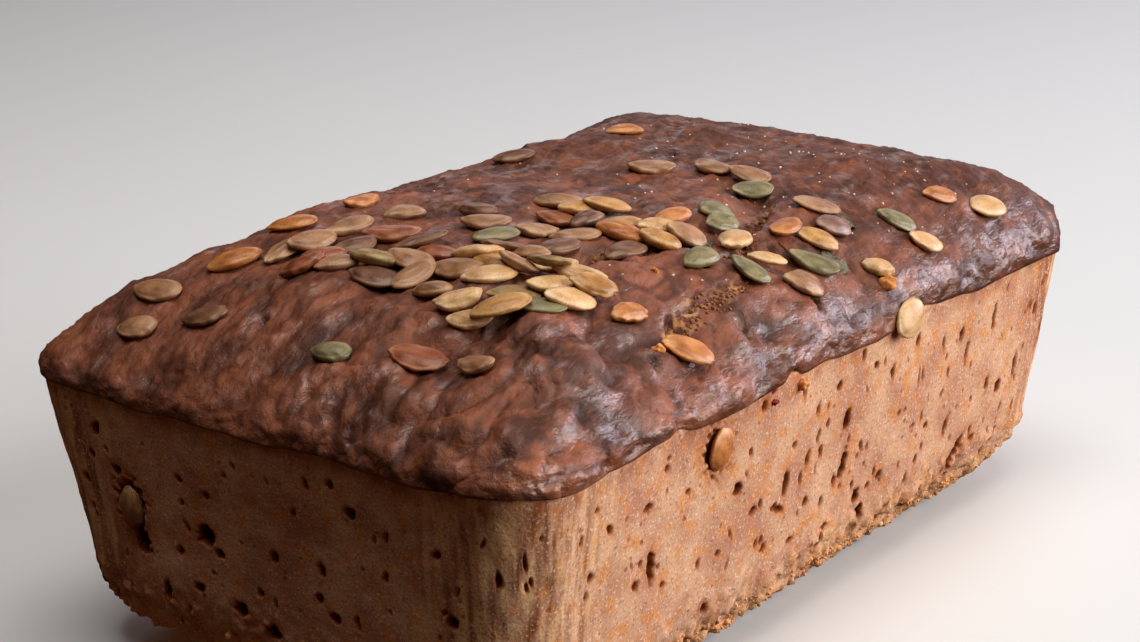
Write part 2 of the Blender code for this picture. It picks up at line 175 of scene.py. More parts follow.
@dataclass(frozen=True)
class LoafForm:
    """The solid's own shape, with the sizes that it was built from."""

    rim_length: float = 218 * MM
    rim_width: float = 128 * MM
    rim_height: float = 58 * MM
    taper: float = 6 * MM
    base_edge_radius: float = 18 * MM
    rim_corner_radii: tuple[float, float] = (13 * MM, 20 * MM)
    base_corner_radii: tuple[float, float] = (16 * MM, 22 * MM)
    dome_rise: float = 25 * MM
    dome_power: float = 4.6
    section_power: float = 22
    lip_out: float = 1.0 * MM
    lip_start: float = 0.2
    roll_at_start: float = 4 * MM
    roll_at_end: float = 7 * MM
    rim_wander: float = 1.7 * MM
    rim_wander_span: float = 28 * MM
    rim_wander_shift: Vector = Vector((2.0, 6.5, 0.9))
    wander_power: float = 6
    swell_size: float = 2.4 * MM
    swell_span: float = 40 * MM
    knob_size: float = 1.7 * MM
    knob_span: float = 15 * MM
    fade_power: float = 12
    noise_shift: Vector = Vector((3.3, 7.7, 0.4))
    knobbly_corner: Vector = Vector((-96 * MM, -50 * MM))
    knobbly_reach: float = 46 * MM
    knobbly_gain: float = 1.3
    wall_bulge: float = 0.9 * MM
    wall_bulge_span: float = 34 * MM
    corner_share: float = 0.12

    def nearness(self, x: float, y: float) -> float:
        """How close a point of the plan lies to the knobbly corner, from 0 to 1."""
        return math.exp(-(((Vector((x, y)) - self.knobbly_corner).length / self.knobbly_reach) ** 2))

    def edge_roll(self, x: float) -> float:
        """Height of the rounded roll at the crust's edge, which grows along the loaf."""
        return self.roll_at_start + (self.roll_at_end - self.roll_at_start) * (x / self.rim_length + 0.5)

    def crust_height(self, x: float, y: float) -> float:
        """Find the crust's height over a point of the plan: dome, swells, knobs and tears.

        Args:
            x: Place along the loaf.
            y: Place across the loaf.

        Returns:
            The height.
        """
        along = min(abs(x) / (self.rim_length / 2), 1.0)
        across = min(abs(y) / (self.rim_width / 2), 1.0)
        power = self.section_power
        outwards = min((along**power + across**power) ** (1 / power), 1.0)
        roll = self.edge_roll(x)
        place = Vector((x, y, 0.0))
        relief = self.swell_size * noise.noise(place / self.swell_span + self.noise_shift)
        gain = 1.0 + self.knobbly_gain * self.nearness(x, y)
        relief += self.knob_size * gain * noise.noise(place / self.knob_span + self.noise_shift)
        for tear in (TORN_CRACK, FRONT_FOLD, SIDE_FOLD):
            relief -= tear.depth_at(x, y)
        rise = (self.dome_rise - roll) * (1.0 - outwards**self.dome_power)
        return self.rim_height + roll + rise + relief * (1.0 - outwards**self.fade_power)

    def corner_radius(self, u: float, share: float) -> float:
        """Find the radius of the upright corner at one end of the loaf.

        Args:
            u: Place along the loaf, -1 to 1, which tells the end.
            share: Height as a share of the rim's.

        Returns:
            The radius.
        """
        end = 0 if u < 0 else 1
        low, high = self.base_corner_radii[end], self.rim_corner_radii[end]
        return low + (high - low) * share

    def wall_inset(self, height: float) -> float:
        """Find how far the wall stands in from the rim's outline.

        Args:
            height: Height on the loaf.

        Returns:
            The inset.
        """
        inset = self.taper * (1.0 - height / self.rim_height)
        if height < self.base_edge_radius:
            drop = self.base_edge_radius - height
            inset += self.base_edge_radius - math.sqrt(self.base_edge_radius**2 - drop**2)
        return inset

    def onto_section(self, u: float, v: float, inset: float, radius: float) -> Vector:
        """Carry a point of the unit square onto the rounded rectangle that stands in by an inset.

        Args:
            u: Place along the loaf, -1 to 1.
            v: Place across the loaf, -1 to 1.
            inset: Distance in from the rim's outline.
            radius: Radius of the rectangle's corners.

        Returns:
            The point on the plan.
        """
        half_length, half_width = self.rim_length / 2 - inset, self.rim_width / 2 - inset
        straight = 1.0 - self.corner_share

        def spread(share: float, half: float) -> float:
            """Carry one coordinate, with the corner's share of it over the corner's radius.

            Args:
                share: The coordinate, -1 to 1.
                half: Half the rectangle's size that way.

            Returns:
                The place.
            """
            size = abs(share)
            if size <= straight:
                return math.copysign(size / straight * (half - radius), share)
            return math.copysign(half - radius + (size - straight) / self.corner_share * radius, share)

        x, y = spread(u, half_length), spread(v, half_width)
        over_x, over_y = abs(x) - (half_length - radius), abs(y) - (half_width - radius)
        if over_x > 0.0 and over_y > 0.0:
            pull = max(over_x, over_y) / math.hypot(over_x, over_y)
            x = math.copysign(half_length - radius + over_x * pull, x)
            y = math.copysign(half_width - radius + over_y * pull, y)
        return Vector((x, y))

    def wander(self, place: Vector) -> float:
        """How far the rim's line strays up or down at a point of the plan."""
        return self.rim_wander * noise.noise(place.to_3d() / self.rim_wander_span + self.rim_wander_shift)

    def wall_place(self, u: float, v: float, level: float, roll: float = 0.0, tuck: float = 0.0) -> Vector:
        """Place of a point on the upright faces or on the crust's roll.

        Args:
            u: Place along the loaf, -1 to 1.
            v: Place across the loaf, -1 to 1.
            level: Height up to the rim.
            roll: Share of the way up the crust's roll, or minus one below the crust.
            tuck: Further distance inwards.

        Returns:
            The point in space.
        """
        share = level / self.rim_height
        inset = self.wall_inset(level) + tuck
        if roll >= 0.0:
            inset -= self.lip_out * math.sin(math.pi * (self.lip_start + (1.0 - self.lip_start) * roll))
        place = self.onto_section(u, v, inset, max(self.corner_radius(u, share) - tuck, 2 * MM))
        shown = level + self.roll_at_start * max(roll, 0.0)
        bulge_place = Vector((place.x, place.y, shown)) / self.wall_bulge_span
        bulge = self.wall_bulge * noise.noise(bulge_place + self.noise_shift)
        place *= 1.0 + bulge / (self.rim_width / 2)
        height = level + self.wander(place) * share**self.wander_power
        return Vector((place.x, place.y, height + self.edge_roll(place.x) * max(roll, 0.0)))


@dataclass(frozen=True)
class Pore:
    """A hole in a surface: its middle, half sizes, lean in degrees from upright, and depth."""

    x: float
    y: float
    half_width: float
    half_height: float
    lean: float
    depth: float

    def reach(self, x: float, y: float, ragged: float) -> float:
        """Find the distance from the middle as a share of the outline's.

        Args:
            x: Place on the surface.
            y: Height on the surface.
            ragged: How much the outline is drawn in there.

        Returns:
            The share, over one outside the pore.
        """
        turn = math.radians(self.lean)
        dx, dy = x - self.x, y - self.y
        across = dx * math.cos(turn) - dy * math.sin(turn)
        up = dx * math.sin(turn) + dy * math.cos(turn)
        return math.hypot(across / self.half_width, up / self.half_height) * (1.0 + ragged)


# Holes that show in the long side and in the near end: place along the face and height, width, height and
# lean from upright, in mm and degrees
LONG_SIDE_HOLES = (
    (54, 47, 2.0, 4.2, 0), (58, 42, 1.6, 6.0, 12), (20, 47, 1.8, 4.6, 0), (12, 51, 2.0, 2.0, 0),
    (31, 51, 2.2, 2.8, 20), (34, 42, 1.0, 6.0, 0), (2, 41, 3.2, 5.8, 5), (3, 31, 3.0, 7.4, 8),
    (0, 28, 2.6, 2.0, 0), (6, 55, 1.6, 3.2, 0), (-3, 50, 2.0, 3.0, 10), (-17, 53, 1.3, 4.2, 0),
    (-32, 55, 2.0, 2.6, 0), (-39, 39, 3.4, 3.4, -15), (-21, 34, 2.3, 7.0, 0), (-15, 33, 1.5, 4.0, 0),
    (-13, 37, 2.0, 4.0, 10), (-19, 42, 1.7, 1.7, 0), (60, 17, 3.2, 11.0, 35), (68, 19, 2.0, 1.6, 0),
    (11, 21, 3.2, 4.0, 20), (16, 22, 2.3, 1.8, 0), (14, 16, 3.6, 5.0, 0), (21, 23, 2.4, 2.8, 15),
    (41, 29, 1.9, 2.0, 30), (34, 31, 1.5, 1.4, 0), (52, 26, 1.8, 5.4, 15), (46, 11, 5.0, 3.4, 0),
    (77, 29, 2.6, 4.2, 15), (71, 31, 1.8, 4.2, 0), (85, 32, 1.8, 6.6, 0), (70, 47, 1.8, 7.2, 0),
    (61, 38, 1.0, 2.8, 0), (-29, 24, 1.7, 2.6, 0), (-17, 20, 3.2, 1.7, 0), (-8, 16, 1.6, 1.8, 0),
    (-23, 29, 3.8, 2.0, 25), (-33, 32, 3.0, 2.2, -20), (13, 32, 1.0, 2.2, 0), (13, 28, 1.0, 1.5, 0),
    (-2, 18, 2.4, 2.0, 10), (-12, 27, 2.0, 2.4, 0), (-69, 45, 2.8, 2.1, 0), (-81, 45, 2.0, 2.7, -15),
    (-68, 32, 2.7, 8.2, 0), (-73, 30, 2.2, 2.5, 0), (-56, 44, 1.7, 1.6, 0), (-52, 27, 1.4, 2.4, 0),
    (-49, 16, 2.0, 3.0, 0), (-63, 51, 1.5, 2.2, 0), (-45, 27, 1.5, 1.6, 0), (-28, 22, 1.9, 2.2, 0),
    (-25, 30, 2.4, 2.2, 0), (-64, 27, 1.8, 1.7, 0), (-87, 37, 2.0, 2.2, 0), (47, 35, 1.6, 2.2, 20),
    (26, 36, 1.3, 1.8, 0), (38, 22, 1.8, 2.2, 0), (28, 14, 2.4, 2.2, 0), (92, 44, 1.6, 4.0, 0),
)
END_HOLES = (
    (21, 44, 2.0, 2.2, 0), (16, 33, 5.0, 5.4, 0), (35, 28, 4.4, 7.6, 0), (38, 42, 3.0, 2.8, 0),
    (41, 50, 2.4, 3.4, 20), (44, 44, 2.0, 2.2, 0), (-22, 47, 2.8, 3.4, 0), (-2, 33, 2.2, 3.4, 0),
    (24, 28, 2.0, 2.2, 0), (-14, 33, 2.2, 3.6, 0), (3, 24, 1.9, 2.2, 0), (9, 19, 3.8, 3.4, 0),
    (-13, 27, 2.4, 2.2, 0), (-17, 24, 2.8, 3.0, 0), (1, 16, 4.4, 3.6, 0), (-46, 31, 3.0, 3.0, 0),
    (-42, 44, 2.0, 2.2, 0), (13, 30, 2.6, 2.4, 0), (30, 18, 2.4, 5.6, 15), (20, 21, 3.0, 2.6, 0),
    (14, 42, 1.8, 2.2, 0), (48, 38, 1.6, 2.8, 0), (-55, 41, 2.0, 3.6, 0), (-18, 52, 1.8, 3.0, 0),
)
# Small pits in the crust, darkened by painted shade: place on the plan, radius and depth in mm
CRUST_PITS = (
    (-31, -59, 1.5, 2.2), (-7, -60, 1.4, 2.0), (-86, -60, 1.5, 1.2), (-46, -52, 1.8, 1.8),
    (-26, -45, 1.5, 1.8), (14, -56, 1.0, 1.4), (-3, -47, 1.3, 1.6), (33, 3, 1.0, 1.4),
    (-72, -44, 1.6, 1.6), (-60, -57, 1.5, 1.6), (62, 22, 1.2, 1.4), (78, -20, 1.0, 1.2),
    (-92, 12, 1.2, 1.4), (45, -40, 0.9, 1.2), (5, 44, 1.3, 1.4), (-25, 50, 1.2, 1.4),
    (70, 48, 1.3, 1.5), (95, 10, 1.1, 1.3), (-50, 52, 1.2, 1.4), (30, -44, 0.9, 1.2),
)


@dataclass(frozen=True)
class WallKernelSpot:
    """A kernel baked into an upright face.

    It has a point on the loaf in mm, an outward normal, a lean in degrees, a tone, a length, and how many
    times wider it is than the others.
    """

    point: tuple[float, float, float]
    normal: tuple[float, float, float]
    lean: float
    tone: Tone
    length: float
    widening: float


WALL_KERNEL_LIFT = 0.7 * MM
# Half width, half height and depth of the hollow that each one lies in
WALL_KERNEL_HOLLOW = (4.7 * MM, 6.8 * MM, 1.1 * MM)
WALL_KERNELS = (
    WallKernelSpot((-47, -63, 50), (0.0, -1.0, -0.1), 80, Tone.ORANGE, 10.2 * MM, 1.5),
    WallKernelSpot((21.5, -65.4, 58.6), (-0.15, -1.0, 0.25), 208, Tone.CREAM, 11 * MM, 1.2),
    WallKernelSpot((-106.2, 36, 35), (-1.0, 0.0, -0.1), 95, Tone.TAN, 8.8 * MM, 1.35),
)


@dataclass(frozen=True)
class Ramp:
    """How one value runs into another: from start to end it goes from low to high, and stays inside them."""

    start: float
    end: float
    low: float = 0.0
    high: float = 1.0

    def inputs(self, value: bpy.types.NodeSocket) -> dict:
        """Inputs of the node that carries a value through the ramp."""
        spans = {"From Min": self.start, "From Max": self.end, "To Min": self.low, "To Max": self.high}
        return {"Value": value} | spans


@dataclass(frozen=True)
class Cloud:
    """A noise pattern of one real size, and the ramp that makes a share of it."""

    span: float
    detail: float
    ramp: Ramp

    def spread(self, tree: bpy.types.NodeTree, place: bpy.types.NodeSocket) -> bpy.types.NodeSocket:
        """Add the pattern to a material.

        Args:
            tree: The material's node tree.
            place: The point that the noise is read at.

        Returns:
            The share.
        """
        pattern = {"Vector": place, "Scale": 1 / self.span, "Detail": self.detail}
        cloud = add_node(tree, "ShaderNodeTexNoise", pattern).outputs["Fac"]
        return add_node(tree, "ShaderNodeMapRange", self.ramp.inputs(cloud)).outputs["Result"]


def start_material(name: str) -> tuple[bpy.types.Material, bpy.types.Node, bpy.types.NodeSocket]:
    """Make a material of one plain shader.

    Args:
        name: What the real stuff is.

    Returns:
        The material, its shader, and the socket that gives a point's place on the object.
    """
    material = bpy.data.materials.new(name)
    material.use_nodes = True
    place = add_node(material.node_tree, "ShaderNodeTexCoord").outputs["Object"]
    return material, material.node_tree.nodes["Principled BSDF"], place


def lay_colours(tree: bpy.types.NodeTree, ground: object, coats: tuple) -> bpy.types.NodeSocket:
    """Lay coats of colour over a ground, one after the other, each by its own share.

    Args:
        tree: The material's node tree.
        ground: Hex colour or colour socket of the ground.
        coats: Share, and hex colour or colour socket, of each coat.

    Returns:
        The finished colour.
    """
    colour = linear(ground) if isinstance(ground, str) else ground
    for share, coat in coats:
        above = linear(coat) if isinstance(coat, str) else coat
        sockets = {MIX_SHARE: share, MIX_BELOW: colour, MIX_ABOVE: above}
        colour = add_node(tree, "ShaderNodeMix", sockets, data_type="RGBA").outputs[MIX_COLOUR]
    return colour


@dataclass(frozen=True)
class BakedCrumb:
    """Wholemeal crumb baked against the tin: a dry, matt, pale brown skin with fine open grain.

    The specks come from the flour's bran, the amber stains and part of the linings from crumb that stayed
    moist; the pores darken with depth as painted shade, the pinholes are painted shade, and the pale low band
    is partly painted light that stands for light bounced up from the floor.
    """

    pale: str = "dbad8b"
    rosy: str = "bc846a"
    golden: str = "d98d47"
    # Golden crumb of the low band, lightened as painted light for light bounced up from the floor
    low_edge_with_painted_bounce: str = "f2b87e"
    bran: str = "8a5a42"
    flour: str = "f6e0cc"
    # Painted shade in the pinholes
    pinhole_shade: str = "7c3f1e"
    # Pore linings: amber crumb colour, turning to painted shade with the pores' depth
    amber: str = "ac581e"
    pore_shade: str = "3e1706"
    run_down: str = "8e4a24"
    streak: str = "8a4f22"
    streak_pale: str = "f0c48c"
    patches: Cloud = Cloud(12 * MM, 5.0, Ramp(0.4, 0.62, high=0.95))
    stains: Cloud = Cloud(4 * MM, 6.0, Ramp(0.51, 0.65, high=0.75))
    bran_grain: Cloud = Cloud(0.7 * MM, 3.0, Ramp(0.55, 0.7, high=0.6))
    flour_grain: Cloud = Cloud(0.56 * MM, 2.0, Ramp(0.56, 0.7, high=0.65))
    dark_streaks: Cloud = Cloud(2.2 * MM, 4.0, Ramp(0.5, 0.66))
    pale_streaks: Cloud = Cloud(2.2 * MM, 4.0, Ramp(0.5, 0.36))
    drips: Cloud = Cloud(5 * MM, 5.0, Ramp(0.4, 0.62, high=0.7))
    band_sway: Cloud = Cloud(7 * MM, 4.0, Ramp(0.3, 0.7, high=15 * MM))
    sieve: Cloud = Cloud(9 * MM, 3.0, Ramp(0.45, 0.6, high=0.2))
    crumble: Cloud = Cloud(1.3 * MM, 5.0, Ramp(0.3, 0.7))
    fine_grain: Cloud = Cloud(0.7 * MM, 3.0, Ramp(0.3, 0.7, high=0.35))
    band: Ramp = Ramp(22.5 * MM, 10.5 * MM, high=0.85)
    pricks: Ramp = Ramp(0.03, -0.06, high=0.6)
    opening: Ramp = Ramp(0.02, 0.35)
    upright_stretch: tuple[float, float, float] = (1.0, 1.0, 0.07)
    pinhole_span: float = 3.0 * MM
    crumble_gain: float = 2.4
    pinhole_gain: float = -0.8
    bump_strength: float = 0.55
    grain_rise: float = 0.25 * MM
    roughness: float = 0.88
    shine: float = 0.3

    def material(self) -> bpy.types.Material:
        """Build the wall's material.

        Returns:
            The material.
        """
        material, shader, place = start_material("baked_wholemeal_wall")
        tree = material.node_tree
        band = self.low_band(tree, place)
        dark_streaks, pale_streaks = self.streaks(tree, place)
        pinholes = self.pinholes(tree, place)
        pore = add_node(tree, "ShaderNodeAttribute", attribute_name="pore").outputs["Fac"]
        pore_lining_and_shade = add_node(tree, "ShaderNodeMapRange", self.opening.inputs(pore)).outputs["Result"]
        coats = (
            (self.patches.spread(tree, place), self.rosy),
            (self.stains.spread(tree, place), self.golden),
            # Low band: golden crumb, partly painted bounce light
            (band, self.low_edge_with_painted_bounce),
            (dark_streaks, self.streak),
            (pale_streaks, self.streak_pale),
            (self.bran_grain.spread(tree, place), self.bran),
            (self.flour_grain.spread(tree, place), self.flour),
            (pinholes, self.pinhole_shade),
            (self.run_downs(tree, place), self.run_down),
            # Pore linings, darkening to painted shade with depth
            (pore_lining_and_shade, lay_colours(tree, self.amber, ((pore, self.pore_shade),))),
        )
        tree.links.new(lay_colours(tree, self.pale, coats), shader.inputs["Base Color"])
        tree.links.new(self.relief(tree, place, band, pinholes), shader.inputs["Normal"])
        shader.inputs["Roughness"].default_value = self.roughness
        shader.inputs["Specular IOR Level"].default_value = self.shine
        return material

    def low_band(self, tree: bpy.types.NodeTree, place: bpy.types.NodeSocket) -> bpy.types.NodeSocket:
        """Find where the crumbly band runs along the base, with a top that sways up and down.

        Args:
            tree: The material's node tree.
            place: The point on the loaf.

        Returns:
            The band's share.
        """
        height = add_node(tree, "ShaderNodeSeparateXYZ", {"Vector": place}).outputs["Z"]
        heights = {0: height, 1: self.band_sway.spread(tree, place)}
        swayed = add_node(tree, "ShaderNodeMath", heights, operation="ADD").outputs["Value"]
        return add_node(tree, "ShaderNodeMapRange", self.band.inputs(swayed)).outputs["Result"]

    def streaks(self, tree: bpy.types.NodeTree, place: bpy.types.NodeSocket) -> list[bpy.types.NodeSocket]:
        """Draw the streaks that the tin's corners left on the walls.

        Args:
            tree: The material's node tree.
            place: The point on the loaf.

        Returns:
            Shares of the dark and of the pale streaks.
        """
        streaked = add_node(tree, "ShaderNodeAttribute", attribute_name="streak").outputs["Fac"]
        stretch = {"Vector": place, "Scale": self.upright_stretch}
        drawn_out = add_node(tree, "ShaderNodeMapping", stretch).outputs["Vector"]
        shares = []
        for lines in (self.dark_streaks, self.pale_streaks):
            factors = {0: lines.spread(tree, drawn_out), 1: streaked}
            shares.append(add_node(tree, "ShaderNodeMath", factors, operation="MULTIPLY").outputs["Value"])
        return shares

    def pinholes(self, tree: bpy.types.NodeTree, place: bpy.types.NodeSocket) -> bpy.types.NodeSocket:
        """Prick the skin with pinholes, close together in some places and missing in others, and darken them
        with painted shade.

        Args:
            tree: The material's node tree.
            place: The point on the loaf.

        Returns:
            The pinholes' share.
        """
        holes = add_node(tree, "ShaderNodeTexVoronoi", {"Vector": place, "Scale": 1 / self.pinhole_span})
        reaches = {0: holes.outputs["Distance"], 1: self.sieve.spread(tree, place)}
        reach = add_node(tree, "ShaderNodeMath", reaches, operation="SUBTRACT").outputs["Value"]
        return add_node(tree, "ShaderNodeMapRange", self.pricks.inputs(reach)).outputs["Result"]

    def run_downs(self, tree: bpy.types.NodeTree, place: bpy.types.NodeSocket) -> bpy.types.NodeSocket:
        """Find where the glaze ran down under the rim.

        Args:
            tree: The material's node tree.
            place: The point on the loaf.

        Returns:
            The share of the drips.
        """
        under_rim = add_node(tree, "ShaderNodeAttribute", attribute_name="under_rim").outputs["Fac"]
        factors = {0: under_rim, 1: self.drips.spread(tree, place)}
        return add_node(tree, "ShaderNodeMath", factors, operation="MULTIPLY").outputs["Value"]

    def relief(
        self,
        tree: bpy.types.NodeTree,
        place: bpy.types.NodeSocket,
        band: bpy.types.NodeSocket,
        pinholes: bpy.types.NodeSocket,
    ) -> bpy.types.NodeSocket:
        """Raise the fine grain and the rough band, and sink the pinholes.

        Args:
            tree: The material's node tree.
            place: The point on the loaf.
            band: Share of the crumbly band.
            pinholes: Share of the pinholes.

        Returns:
            The bent normal.
        """
        factors = {0: band, 1: self.crumble.spread(tree, place)}
        rough = add_node(tree, "ShaderNodeMath", factors, operation="MULTIPLY").outputs["Value"]
        height = self.fine_grain.spread(tree, place)
        for share, gain in ((rough, self.crumble_gain), (pinholes, self.pinhole_gain)):
            terms = {0: share, 1: gain, 2: height}
            height = add_node(tree, "ShaderNodeMath", terms, operation="MULTIPLY_ADD").outputs["Value"]
        bump = {"Strength": self.bump_strength, "Distance": self.grain_rise, "Height": height}
        return add_node(tree, "ShaderNodeBump", bump).outputs["Normal"]


@dataclass(frozen=True)
class GlazedCrust:
    """Crust brushed with egg and baked hard: mottled chestnut, its thin hazy film shown as a pale lilac
    painted sheen (painted reflection), with painted shade in its creases and pits and towards the +X end.
    """

    chestnut: str = "8a533d"
    dark: str = "4d2a1d"
    warm: str = "9a5836"
    # Pale lilac painted sheen: the glaze's soft reflection painted into the colour
    sheen_film: str = "ae847e"
    # Painted shade laid in the creases, the fold valleys and the pits
    crease: str = "351409"
    torn: str = "52210f"
    torn_pale: str = "c08a56"
    patch_span: float = 11 * MM
    mottle_span: float = 4.5 * MM
    sheen_span: float = 4.5 * MM
    ripple_span: float = 1.7 * MM
    grit_span: float = 0.45 * MM
    dark_patches: Ramp = Ramp(0.55, 0.38)
    # Painted shade: the crust is darkened towards the +X end, where more light falls on it
    shaded_far_end: Ramp = Ramp(-30 * MM, 80 * MM, high=0.8)
    scorch: Ramp = Ramp(0.48, 0.34, high=0.5)
    warmth: Ramp = Ramp(0.52, 0.68, high=0.6)
    # Where the painted sheen lies; it is laid more thickly towards the -X end
    sheen_cover: Ramp = Ramp(0.5, 0.72)
    sheen_by_end: Ramp = Ramp(-90 * MM, 40 * MM, 0.36, 0.16)
    open_crumb: Ramp = Ramp(0.48, 0.62)
    satin: Ramp = Ramp(0.35, 0.65, 0.46, 0.66)
    pooled_glaze: Ramp = Ramp(-54 * MM, -63 * MM, high=0.12)
    wet_coat: Ramp = Ramp(0.52, 0.66, high=0.75)
    drawn_out: float = 0.6
    sheen_shift: float = 0.7
    distortion: float = 0.4
    grit_gain: float = 0.16
    bump_strength: float = 0.9
    ripple_rise: float = 0.6 * MM
    coat_roughness: float = 0.22
    shine: float = 0.3

    def cloud(
        self,
        tree: bpy.types.NodeTree,
        place: bpy.types.NodeSocket,
        span: float,
        detail: float,
        shift: float = 0.0,
    ) -> bpy.types.NodeSocket:
        """Add noise of one real size, drawn out along the loaf.

        Args:
            tree: The material's node tree.
            place: The point on the loaf.
            span: The noise's size.
            detail: How many finer layers it has.
            shift: How far it is moved, for a second noise of the same size.

        Returns:
            The noise, from 0 to 1.
        """
        stretch = {"Vector": place, "Location": (shift, shift, 0.0), "Scale": (self.drawn_out, 1.0, 1.0)}
        moved = add_node(tree, "ShaderNodeMapping", stretch).outputs["Vector"]
        pattern = {"Vector": moved, "Scale": 1 / span, "Detail": detail, "Distortion": self.distortion}
        return add_node(tree, "ShaderNodeTexNoise", pattern).outputs["Fac"]

    def material(self) -> bpy.types.Material:
        """Build the crust's material.

        Returns:
            The material.
        """
        material, shader, place = start_material("egg_glazed_crust")
        tree = material.node_tree
        spot = add_node(tree, "ShaderNodeSeparateXYZ", {"Vector": place}).outputs
        patch = self.cloud(tree, place, self.patch_span, 4.0)
        mottle = self.cloud(tree, place, self.mottle_span, 5.0)
        # Pattern of the painted sheen, which also sets where the wet coat lies
        sheen_film = self.cloud(tree, place, self.sheen_span, 5.0, self.sheen_shift)
        ripple = self.cloud(tree, place, self.ripple_span, 5.0)
        cuts = (
            (self.dark_patches, patch),
            (self.shaded_far_end, spot["X"]),
            (self.scorch, mottle),
            (self.warmth, mottle),
            (self.sheen_cover, sheen_film),
            (self.sheen_by_end, spot["X"]),
            (self.open_crumb, ripple),
            (self.satin, ripple),
            (self.pooled_glaze, spot["Y"]),
        )
        shares = []
        for ramp, value in cuts:
            shares.append(add_node(tree, "ShaderNodeMapRange", ramp.inputs(value)).outputs["Result"])
        dark_patches, far_end_shade, scorched, warmed, sheen_share, sheen_by_end, crumbly, satin, pooled = shares
        painted_sheen = add_node(tree, "ShaderNodeMath", {0: sheen_share, 1: sheen_by_end}, operation="MULTIPLY").outputs["Value"]
        crease = add_node(tree, "ShaderNodeAttribute", attribute_name="crease").outputs["Fac"]
        torn = add_node(tree, "ShaderNodeAttribute", attribute_name="torn").outputs["Fac"]
        coats = (
            (dark_patches, self.dark),
            # Painted shade towards the +X end
            (far_end_shade, self.dark),
            (scorched, self.dark),
            (warmed, self.warm),
            # Painted sheen: the glaze's reflection laid on as colour
            (painted_sheen, self.sheen_film),
            # Painted shade in the creases, fold valleys and pits
            (crease, self.crease),
            (torn, lay_colours(tree, self.torn, ((crumbly, self.torn_pale),))),
        )
        tree.links.new(lay_colours(tree, self.chestnut, coats), shader.inputs["Base Color"])
        gloss = add_node(tree, "ShaderNodeMath", {0: satin, 1: pooled}, operation="SUBTRACT").outputs["Value"]
        tree.links.new(gloss, shader.inputs["Roughness"])
        wet = add_node(tree, "ShaderNodeMath", {0: sheen_film, 1: pooled}, operation="ADD").outputs["Value"]
        coat = add_node(tree, "ShaderNodeMapRange", self.wet_coat.inputs(wet)).outputs["Result"]
        tree.links.new(coat, shader.inputs["Coat Weight"])
        heights = {0: self.cloud(tree, place, self.grit_span, 2.0), 1: self.grit_gain, 2: ripple}
        height = add_node(tree, "ShaderNodeMath", heights, operation="MULTIPLY_ADD").outputs["Value"]
        bump = {"Strength": self.bump_strength, "Distance": self.ripple_rise, "Height": height}
        normal = add_node(tree, "ShaderNodeBump", bump).outputs["Normal"]
        for socket in ("Normal", "Coat Normal"):
            tree.links.new(normal, shader.inputs[socket])
        shader.inputs["Coat Roughness"].default_value = self.coat_roughness
        shader.inputs["Specular IOR Level"].default_value = self.shine
        return material


@dataclass(frozen=True)
class RoastedKernel:
    """Hulled pumpkin kernel, roasted: a waxy skin with a soft gloss, darker where it scorched, and paler on
    its rim and tip, partly as a painted highlight.
    """

    tone: Tone
    patches: Cloud = Cloud(2.2 * MM, 4.0, Ramp(0.4, 0.7, 0.4, 1.0))
    grain_span: float = 0.5 * MM
    grain_tone: Ramp = Ramp(0.3, 0.7, 0.82, 1.12)
    grain_rise: float = 0.12 * MM
    bump_strength: float = 0.35
    roughness: float = 0.4
    coat: float = 0.15
    coat_roughness: float = 0.3

    def material(self) -> bpy.types.Material:
        """Build the material of the kernels of one tone.

        Returns:
            The material.
        """
        main, shadow, light = self.tone.value
        material, shader, place = start_material(f"roasted_kernel_{self.tone.name.lower()}")
        tree = material.node_tree
        shade = add_node(tree, "ShaderNodeAttribute", attribute_name="shade").outputs["Fac"]
        rim = add_node(tree, "ShaderNodeAttribute", attribute_name="rim").outputs["Fac"]
        factors = {0: self.patches.spread(tree, place), 1: shade}
        scorched = add_node(tree, "ShaderNodeMath", factors, operation="MULTIPLY").outputs["Value"]
        # Scorch, then the paler rim and tip, partly a painted highlight
        scorched_and_rim_highlit = lay_colours(tree, main, ((scorched, shadow), (rim, light)))
        pattern = {"Vector": place, "Scale": 1 / self.grain_span, "Detail": 2.0}
        grain = add_node(tree, "ShaderNodeTexNoise", pattern).outputs["Fac"]
        tone = add_node(tree, "ShaderNodeMapRange", self.grain_tone.inputs(grain)).outputs["Result"]
        sockets = {MIX_SHARE: 1.0, MIX_BELOW: scorched_and_rim_highlit, MIX_ABOVE: tone}
        grained = add_node(tree, "ShaderNodeMix", sockets, data_type="RGBA", blend_type="MULTIPLY")
        bump = {"Strength": self.bump_strength, "Distance": self.grain_rise, "Height": grain}
        tree.links.new(grained.outputs[MIX_COLOUR], shader.inputs["Base Color"])
        tree.links.new(add_node(tree, "ShaderNodeBump", bump).outputs["Normal"], shader.inputs["Normal"])
        shader.inputs["Roughness"].default_value = self.roughness
        shader.inputs["Coat Weight"].default_value = self.coat
        shader.inputs["Coat Roughness"].default_value = self.coat_roughness
        return material


